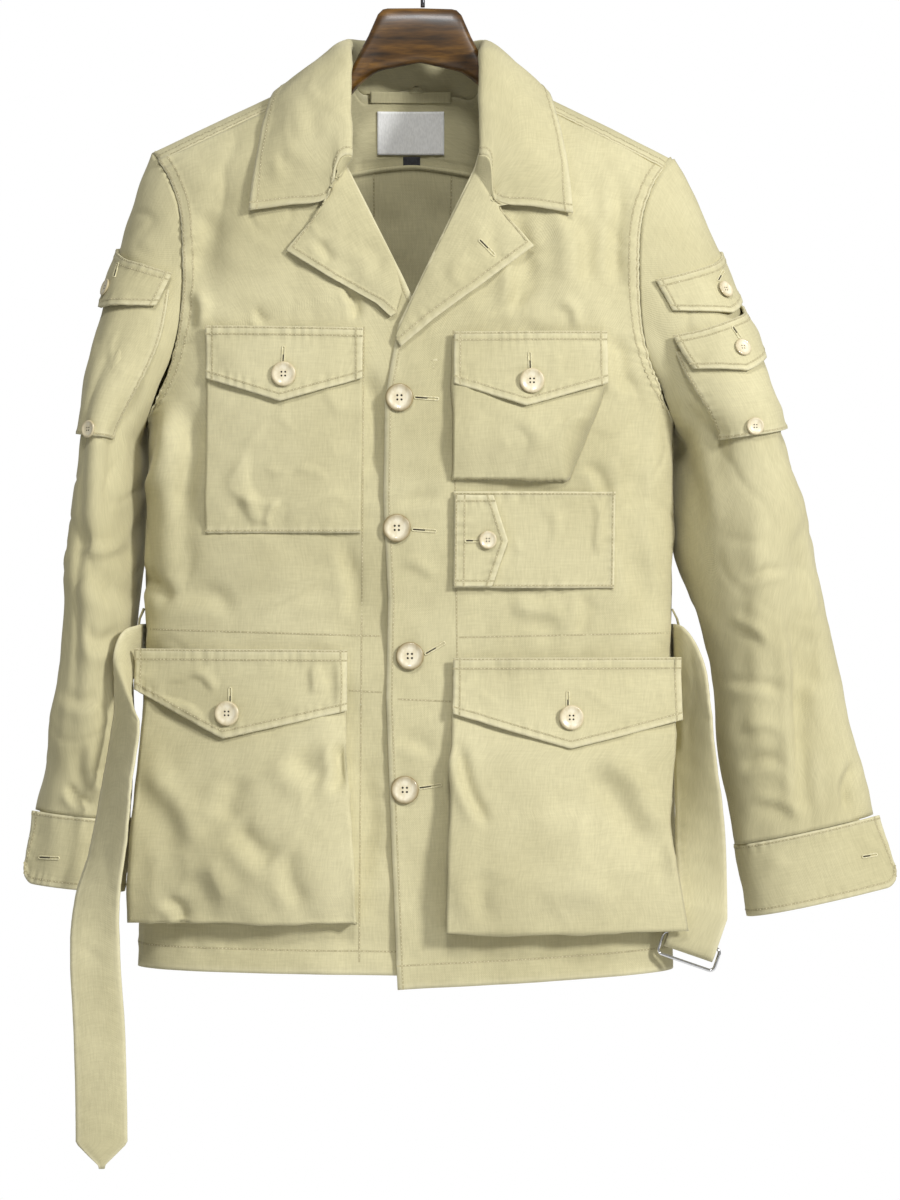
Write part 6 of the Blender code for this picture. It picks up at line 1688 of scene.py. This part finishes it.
def ring(name, side, body, corner_steps=9):
    """A slim wire ring; its upper bar lies in the belt's folded end."""
    axis, bar, down, ahead = buckle_frame()
    outline = []
    turns = ((1, 0.0, 270), (1, RING_HEIGHT, 0), (-1, RING_HEIGHT, 90), (-1, 0.0, 180))
    for bar_sign, down_at, start in turns:
        inward = RING_CORNER if down_at == 0.0 else -RING_CORNER
        corner = bar * bar_sign * (RING_WIDTH / 2 - RING_CORNER) + down * (down_at + inward)
        for angle in np.radians(np.linspace(start, start + 90, corner_steps)):
            outline.append(corner + (bar * math.cos(angle) + down * math.sin(angle)) * RING_CORNER)
    path = axis + np.array(outline) + ahead * side * RING_OFFSET
    shape = tube_mesh(name + "_wire", path, RING_WIRE, closed=True, sides=16)
    add_piece(name + "_wire", shape, CHROME, name, body=body, slot="ring")


HANGER_BLOCK = table(
    "x top bottom half_depth",
    (0.000, -0.0640, -0.1095, 0.0085), (0.030, -0.0645, -0.1160, 0.0085),
    (0.036, -0.0705, -0.1180, 0.0088), (0.041, -0.0840, -0.1215, 0.0092),
    (0.050, -0.1010, -0.1285, 0.0100), (0.056, -0.1135, -0.1360, 0.0102),
    (0.062, -0.1225, -0.1430, 0.0104), (0.070, -0.1290, -0.1500, 0.0106),
)
HOOK_STEM = table(
    "x z",
    (0.0, -0.0632), (0.0, -0.0590), (0.0, -0.0540), (0.0010, -0.0500), (0.0030, -0.0465),
    (0.0062, -0.0432), (0.0105, -0.0400),
)
HOOK_FROM, HOOK_TO, HOOK_STEP = -40, 201, 6


def hanger_body(around=40, sections=150):
    """Neck block and two arms that follow the shoulders from below."""
    reach = HANGER_END * np.sin(np.linspace(-np.pi / 2, np.pi / 2, sections))
    rings = []
    for out in reach:
        x = out + HANGER_MIDDLE
        arm_top = ridge(x - float(torso_at("middle", RIDGE_Z))) - HANGER_UNDER_RIDGE
        share = float(smooth((abs(out) - ARM_FROM) / ARM_FADE))
        lean = HANG_TILT * out
        block = {name: np.interp(abs(out), HANGER_BLOCK["x"], HANGER_BLOCK[name]) for name in HANGER_BLOCK}
        top = mix(block["top"] - lean, arm_top, share)
        bottom = mix(block["bottom"] - lean, arm_top - ARM_HEIGHT, share)
        depth = mix(block["half_depth"], ARM_HALF_DEPTH, share)
        end = rounded(max(0.0, (abs(out) - HANGER_END + ARM_END) / ARM_END_ROUND), 2.0)
        middle, half = (top + bottom) / 2, (top - bottom) / 2 * end
        angle = 2 * np.pi * np.arange(around) / around
        ahead = squared(np.sin(angle), HANGER_SQUARENESS)
        rise = squared(np.cos(angle), HANGER_SQUARENESS)
        rings.append(points(x, depth * end * ahead, middle + half * rise))
    count = len(rings)
    index = np.arange(count * around).reshape(count, around)
    after = np.roll(index, -1, axis=1)
    faces = np.stack([index[:-1], after[:-1], after[1:], index[1:]], axis=-1).reshape(-1, 4).tolist()
    faces += [index[0, ::-1].tolist(), index[-1].tolist()]
    shape = mesh_of("hanger_wood", np.concatenate(rings).tolist(), faces)
    add_piece("hanger_wood", shape, WOOD, "hanger_body", slot="hanger_wood")


def hanger_hook():
    """A wire hook that stands in the neck block."""
    radius = HOOK_INNER + HOOK_WIRE
    angle = np.radians(np.arange(HOOK_FROM, HOOK_TO, HOOK_STEP))
    stem = points(HOOK_STEM["x"], 0.0, HOOK_STEM["z"])
    crown = points(radius * np.cos(angle), 0.0, radius * np.sin(angle) - HOOK_INNER)
    path = np.vstack([stem, crown])
    shape = tube_mesh("hook_wire", path, HOOK_WIRE, closed=False, sides=16)
    add_piece("hook_wire", shape, STEEL, "hanger_hook", slot="hook_wire")


# Materials

def nodes_of(name):
    made = bpy.data.materials.new(name)
    made.use_nodes = True
    return made, made.node_tree.nodes, made.node_tree.links, made.node_tree.nodes["Principled BSDF"]


def settle(shader, values):
    """Give the shader's sockets their even values."""
    for socket, value in values.items():
        shader.inputs[socket].default_value = value


def noise(nodes, links, coordinate, scale, detail, stretch=(1.0, 1.0, 1.0)):
    """A noise texture on a stretched coordinate."""
    mapping = nodes.new("ShaderNodeMapping")
    mapping.inputs["Scale"].default_value = stretch
    links.new(coordinate, mapping.inputs["Vector"])
    texture = nodes.new("ShaderNodeTexNoise")
    texture.inputs["Scale"].default_value = scale
    texture.inputs["Detail"].default_value = detail
    links.new(mapping.outputs["Vector"], texture.inputs["Vector"])
    return texture.outputs["Fac"]


def ramp(nodes, links, factor, *stops):
    """Colours along a factor; each stop is a place and a linear colour."""
    made = nodes.new("ShaderNodeValToRGB")
    while len(made.color_ramp.elements) < len(stops):
        made.color_ramp.elements.new(1.0)
    for element, (place, colour) in zip(made.color_ramp.elements, stops):
        element.position = place
        element.color = (*colour, 1.0)
    links.new(factor, made.inputs["Fac"])
    return made.outputs["Color"]


def blended(nodes, links, factor, first, second, mode="MIX"):
    made = nodes.new("ShaderNodeMix")
    made.data_type, made.blend_type = "RGBA", mode
    for socket, value in ((made.inputs[0], factor), (made.inputs[6], first), (made.inputs[7], second)):
        if isinstance(value, (float, int)):
            socket.default_value = value
        elif isinstance(value, tuple):
            socket.default_value = (*value, 1.0)
        else:
            links.new(value, socket)
    return made.outputs[2]


def bumped(nodes, links, height, distance, strength, under=None):
    made = nodes.new("ShaderNodeBump")
    made.inputs["Distance"].default_value = distance
    made.inputs["Strength"].default_value = strength
    links.new(height, made.inputs["Height"])
    if under is not None:
        links.new(under, made.inputs["Normal"])
    return made.outputs["Normal"]


WALE = 0.0011


def twill(name, dark, light, worn):
    """Washed cotton twill: diagonal wales, slubs, uneven colour and paler worn edges."""
    made, nodes, links, shader = nodes_of(name)
    uv = nodes.new("ShaderNodeUVMap")
    uv.uv_map = "cloth"
    place = nodes.new("ShaderNodeTexCoord").outputs["Object"]
    wales = nodes.new("ShaderNodeTexWave")
    wales.bands_direction = "DIAGONAL"
    wales.inputs["Scale"].default_value = 2 * math.pi / 10 / (WALE * math.sqrt(2))
    wales.inputs["Distortion"].default_value = 1.2
    wales.inputs["Detail Scale"].default_value = 2.0
    links.new(uv.outputs["UV"], wales.inputs["Vector"])
    slub = noise(nodes, links, uv.outputs["UV"], 700.0, 3.0, (1.0, 0.12, 1.0))
    weft = noise(nodes, links, uv.outputs["UV"], 650.0, 3.0, (0.10, 1.0, 1.0))
    cloud = noise(nodes, links, place, 9.0, 4.0)
    base = ramp(nodes, links, cloud, (0.30, dark), (0.72, light))
    fine = ramp(nodes, links, slub, (0.30, (0.80, 0.80, 0.80)), (0.70, (1.0, 1.0, 1.0)))
    base = blended(nodes, links, 0.55, base, fine, "MULTIPLY")
    cross = ramp(nodes, links, weft, (0.30, (0.84, 0.84, 0.84)), (0.70, (1.0, 1.0, 1.0)))
    base = blended(nodes, links, 0.5, base, cross, "MULTIPLY")
    wear = nodes.new("ShaderNodeAttribute")
    wear.attribute_name = "wear"
    share = nodes.new("ShaderNodeMath")
    share.operation = "MULTIPLY"
    share.inputs[1].default_value = 0.45
    links.new(wear.outputs["Fac"], share.inputs[0])
    links.new(blended(nodes, links, share.outputs["Value"], base, worn), shader.inputs["Base Color"])
    normal = bumped(nodes, links, wales.outputs["Fac"], 0.00025, 0.35)
    normal = bumped(nodes, links, slub, 0.0003, 0.35, normal)
    links.new(bumped(nodes, links, cloud, 0.004, 0.10, normal), shader.inputs["Normal"])
    settle(shader, {
        "Roughness": 0.88,
        "Specular IOR Level": 0.20,
        "Sheen Weight": 0.18,
        "Sheen Roughness": 0.45,
        "Sheen Tint": (1.0, 0.96, 0.82, 1.0),
    })
    return made


def plain_weave(name, dark, light):
    """A woven ribbon or thread with fine threads."""
    made, nodes, links, shader = nodes_of(name)
    place = nodes.new("ShaderNodeTexCoord").outputs["Object"]
    threads = noise(nodes, links, place, 900.0, 2.0, (1.0, 1.0, 0.25))
    links.new(ramp(nodes, links, threads, (0.3, dark), (0.7, light)), shader.inputs["Base Color"])
    links.new(bumped(nodes, links, threads, 0.0003, 0.3), shader.inputs["Normal"])
    settle(shader, {
        "Roughness": 0.80,
        "Sheen Weight": 0.10,
    })
    return made


def horn(name, middle, rim, reach):
    """Pale horn, darker towards its rim, mottled and satin polished; reach is the button's radius."""
    made, nodes, links, shader = nodes_of(name)
    place = nodes.new("ShaderNodeTexCoord").outputs["Object"]
    mottle = noise(nodes, links, place, 260.0, 3.0, (1.0, 0.5, 1.0))
    flattened = nodes.new("ShaderNodeMapping")
    flattened.inputs["Scale"].default_value = (1 / reach, 1 / reach, 0.0)
    links.new(place, flattened.inputs["Vector"])
    inward = nodes.new("ShaderNodeTexGradient")
    inward.gradient_type = "SPHERICAL"
    links.new(flattened.outputs["Vector"], inward.inputs["Vector"])
    rings = ramp(nodes, links, inward.outputs["Fac"], (0.04, rim), (0.42, middle))
    mottled = ramp(nodes, links, mottle, (0.30, (0.72, 0.66, 0.52)), (0.62, (1.0, 1.0, 1.0)))
    links.new(blended(nodes, links, 0.75, rings, mottled, "MULTIPLY"), shader.inputs["Base Color"])
    links.new(bumped(nodes, links, mottle, 0.0002, 0.15), shader.inputs["Normal"])
    settle(shader, {
        "Roughness": 0.32,
        "Coat Weight": 0.25,
    })
    return made


def walnut(name):
    """Dark stained wood with its grain along the arms, under satin lacquer."""
    made, nodes, links, shader = nodes_of(name)
    place = nodes.new("ShaderNodeTexCoord").outputs["Object"]
    grain = noise(nodes, links, place, 60.0, 6.0, (0.35, 1.0, 2.2))
    pores = noise(nodes, links, place, 420.0, 2.0, (0.10, 1.0, 1.0))
    colour = ramp(nodes, links, grain, (0.30, (0.020, 0.009, 0.001)), (0.50, (0.080, 0.036, 0.006)),
                  (0.72, (0.180, 0.086, 0.014)))
    dark = ramp(nodes, links, pores, (0.38, (0.55, 0.55, 0.55)), (0.50, (1.0, 1.0, 1.0)))
    links.new(blended(nodes, links, 0.7, colour, dark, "MULTIPLY"), shader.inputs["Base Color"])
    links.new(bumped(nodes, links, pores, 0.0003, 0.15), shader.inputs["Normal"])
    settle(shader, {
        "Roughness": 0.38,
        "Coat Weight": 0.15,
        "Coat Roughness": 0.18,
    })
    return made


def metal(name, colour, roughness):
    """Polished wire with faint drawing marks."""
    made, nodes, links, shader = nodes_of(name)
    place = nodes.new("ShaderNodeTexCoord").outputs["Object"]
    marks = noise(nodes, links, place, 900.0, 2.0, (1.0, 1.0, 0.1))
    links.new(ramp(nodes, links, marks, (0.2, tuple(0.8 * part for part in colour)), (0.8, colour)),
              shader.inputs["Base Color"])
    links.new(bumped(nodes, links, marks, 0.0001, 0.1), shader.inputs["Normal"])
    settle(shader, {
        "Metallic": 1.0,
        "Roughness": roughness,
    })
    return made


# Cut of each cloth piece as far as it shows: the share is how much of the rectangle the piece fills
CUTS = table_of(
    "piece width length share rests_on",
    ("yoke", 0.135, 0.565, 0.60, "hanger_body"),
    ("back", 0.520, 0.690, 0.88, "yoke"),
    ("front_right", 0.300, 0.775, 0.78, "yoke"),
    ("front_left", 0.275, 0.780, 0.80, "yoke"),
    ("collar", 0.130, 0.550, 0.70, "yoke"),
    ("lapel_right", 0.075, 0.150, 0.49, "front_right"),
    ("lapel_left", 0.072, 0.183, 0.46, "front_left"),
    ("sleeve_right", 0.540, 0.565, 0.46, "yoke"),
    ("sleeve_left", 0.540, 0.585, 0.53, "yoke"),
    ("cuff_right", 0.235, 0.060, 0.94, "sleeve_right"),
    ("cuff_left", 0.295, 0.060, 0.94, "sleeve_left"),
    ("sleeve_pocket_right", 0.163, 0.133, 0.91, "sleeve_right"),
    ("sleeve_pocket_left", 0.186, 0.083, 0.87, "sleeve_left"),
    ("sleeve_flap_right", 0.137, 0.051, 0.80, "sleeve_right"),
    ("sleeve_flap_left_upper", 0.133, 0.044, 0.80, "sleeve_left"),
    ("sleeve_flap_left_lower", 0.155, 0.046, 0.80, "sleeve_left"),
    ("breast_pocket_right", 0.136, 0.165, 0.94, "front_right"),
    ("breast_pocket_left", 0.134, 0.134, 0.84, "front_left"),
    ("small_pocket", 0.138, 0.080, 0.97, "front_left"),
    ("lower_pocket_right", 0.242, 0.241, 0.84, "front_right"),
    ("lower_pocket_left", 0.256, 0.253, 0.81, "front_left"),
    ("breast_flap_right", 0.138, 0.062, 0.80, "front_right"),
    ("breast_flap_left", 0.135, 0.062, 0.80, "front_left"),
    ("lower_flap_right", 0.196, 0.074, 0.75, "front_right"),
    ("lower_flap_left", 0.203, 0.075, 0.80, "front_left"),
    ("small_flap", 0.044, 0.080, 0.81, "front_left"),
    ("belt", 0.042, 1.260, 0.99, "back"),
    ("belt_loop_right", 0.071, 0.010, 0.90, "back"),
    ("belt_loop_left", 0.071, 0.010, 0.90, "back"),
    ("belt_loop_back", 0.071, 0.010, 0.90, "back"),
    ("hanging_loop", 0.069, 0.010, 1.00, "yoke"),
    ("neck_label", 0.057, 0.037, 1.00, "yoke"),
    ("size_tab", 0.0145, 0.010, 1.00, "neck_label"),
)


# Camera, light and stage

CAMERA_TARGET, CAMERA_AWAY, VIEW_HALF_HEIGHT = (0.0228, -0.06, -0.5589), 3.0, 0.492
SENSOR_HEIGHT = 0.024
FLOOR_Z, FLOOR_RADIUS, FLOOR_THICK = -1.60, 2.6, 0.01
FLOOR_COLOUR, WHITE = (0.86, 0.86, 0.85, 1.0), (1.0, 1.0, 1.0, 1.0)
AMBIENT = 0.30
LIGHTS = table_of(
    "name place aim size power",
    ("key", (3.6, -3.7, 1.6), (0.0, 0.0, -0.55), 1.0, 262.0),
    ("top", (0.1, -2.6, 1.9), (0.0, 0.0, -0.25), 0.7, 50.0),
)


def camera():
    data = bpy.data.cameras.new("camera")
    data.sensor_fit = "VERTICAL"
    data.sensor_height = SENSOR_HEIGHT * 1000
    data.sensor_width = data.sensor_height
    data.lens = data.sensor_height / 2 * CAMERA_AWAY / VIEW_HALF_HEIGHT
    thing = linked("camera", data)
    x, y, z = CAMERA_TARGET
    thing.location = (x, y - CAMERA_AWAY, z)
    thing.rotation_euler = (math.radians(90), 0.0, 0.0)
    bpy.context.scene.camera = thing


def area_light(name, place, aim, size, power):
    data = bpy.data.lights.new(name, "AREA")
    data.shape, data.size, data.energy = "DISK", size, power
    thing = linked(name, data)
    thing.location = place
    thing.rotation_euler = (Vector(aim) - Vector(place)).to_track_quat("-Z", "Y").to_euler()


def stage():
    """A pale round floor well below the hem, white surroundings and soft light from the upper right."""
    radius, height = [0.0, FLOOR_RADIUS, FLOOR_RADIUS, 0.0], [0.0, 0.0, -FLOOR_THICK, -FLOOR_THICK]
    floor = linked("floor", turned("floor", radius, height, 96))
    floor.location = (0.0, 0.0, FLOOR_Z)
    pale, _, _, shader = nodes_of("pale floor")
    settle(shader, {
        "Base Color": FLOOR_COLOUR,
        "Roughness": 0.9,
    })
    floor.data.materials.append(pale)
    world = bpy.data.worlds.new("white surroundings")
    bpy.context.scene.world = world
    world.use_nodes = True
    nodes, links = world.node_tree.nodes, world.node_tree.links
    ambient = nodes["Background"]
    ambient.inputs["Color"].default_value = WHITE
    ambient.inputs["Strength"].default_value = AMBIENT
    white = nodes.new("ShaderNodeBackground")
    white.inputs["Color"].default_value = WHITE
    chosen = nodes.new("ShaderNodeMixShader")
    links.new(nodes.new("ShaderNodeLightPath").outputs["Is Camera Ray"], chosen.inputs[0])
    links.new(ambient.outputs[0], chosen.inputs[1])
    links.new(white.outputs[0], chosen.inputs[2])
    links.new(chosen.outputs[0], nodes["World Output"].inputs["Surface"])
    for light in LIGHTS:
        area_light(**light)
    look = bpy.context.scene.view_settings
    look.view_transform, look.look = "Standard", "None"


# The whole jacket

KHAKI = twill("khaki cotton twill", (0.50, 0.455, 0.265), (0.62, 0.570, 0.350), (0.76, 0.71, 0.50))
THREAD = plain_weave("khaki thread", (0.50, 0.45, 0.26), (0.72, 0.67, 0.44))
# Painted shade: the colour of the dark strips laid along the stitch lines
PAINTED_SEAM_SHADE = plain_weave("painted seam shade", (0.34, 0.30, 0.165), (0.45, 0.40, 0.235))
LABEL = plain_weave("white label", (0.80, 0.80, 0.78), (0.93, 0.93, 0.91))
TAB = plain_weave("dark size tab", (0.020, 0.020, 0.022), (0.045, 0.045, 0.05))
HORN_MIDDLE = (0.76, 0.70, 0.53)
FRONT_BUTTON_RIM, POCKET_BUTTON_RIM = (0.30, 0.235, 0.115), (0.56, 0.48, 0.30)
# Painted shade: near-black for the walls of the button holes and for the buttonhole slits, which are dark
# only from shadow
PAINTED_HOLE_SHADE = plain_weave("painted shade in the holes", (0.010, 0.007, 0.004), (0.03, 0.02, 0.012))
WOOD = walnut("dark walnut")
CHROME = metal("chrome wire", (0.86, 0.86, 0.87), 0.10)
STEEL = metal("dark steel wire", (0.16, 0.16, 0.17), 0.28)

camera()
stage()
hanger_body()
hanger_hook()
yoke()
back_panel()
collar()
for wearer_side in (RIGHT, LEFT):
    front_panel(wearer_side)
    lapel(wearer_side)
    sleeve_piece(wearer_side)
    cuff(wearer_side)
    sleeve_patch(wearer_side)
    pocket_name = f"lower_pocket_{SIDE_NAMES[wearer_side]}"
    bellows_pocket(pocket_name, LOWER_POCKET[wearer_side], wearer_side, LOWER_SEWN_LIFT)
flat_pocket("breast_pocket_right", BREAST_POCKET_RIGHT, RIGHT)
bellows_pocket("breast_pocket_left", BREAST_POCKET_LEFT, LEFT, BREAST_SEWN_LIFT)
flat_pocket("small_pocket", SMALL_POCKET, LEFT, rows=40)
small_flap()
for flap_name, flap_data in SLEEVE_FLAPS.items():
    sleeve_flap(flap_name, flap_data)
FLAP_SEATS = {
    "breast_flap_right": (front_surface(RIGHT), over_flat_pocket(BREAST_POCKET_RIGHT)),
    "breast_flap_left": (front_surface(LEFT), over_bellows_pocket(BREAST_POCKET_LEFT)),
    "lower_flap_right": (pocket_base(RIGHT), over_bellows_pocket(LOWER_POCKET[RIGHT])),
    "lower_flap_left": (pocket_base(LEFT), over_bellows_pocket(LOWER_POCKET[LEFT])),
}
for flap_name, (seat, seat_lift) in FLAP_SEATS.items():
    flap(flap_name, FLAPS[flap_name], seat, seat_lift)
belt()
for wearer_side in (RIGHT, LEFT):
    belt_loop(f"belt_loop_{SIDE_NAMES[wearer_side]}", at_side_seam(wearer_side), flip=wearer_side == RIGHT)
belt_loop("belt_loop_back", at_back_middle, flip=True)
ring("ring_front", 1.0, "front_ring")
ring("ring_back", -1.0, "back_ring")
neck_trim("hanging_loop", (-0.036, 0.033), -0.1290, 0.0090, KHAKI, "cloth")
neck_trim("neck_label", (-0.0300, 0.0270), -0.1450, 0.0360, LABEL, "label")
neck_trim("size_tab", (-0.0080, 0.0065), -0.1825, 0.0100, TAB, "size_tab")
buttons()
for hole_number, hole_data in enumerate(BUTTONHOLES, 1):
    buttonhole(hole_number, hole_data)
for stitch_line in SEAM_LINES:
    STITCH_LINES.setdefault(stitch_line["carrier"], []).append(seam_line(stitch_line))
for carrier_name, carrier_lines in STITCH_LINES.items():
    stitches(carrier_name + "_stitches", carrier_lines, THREAD)
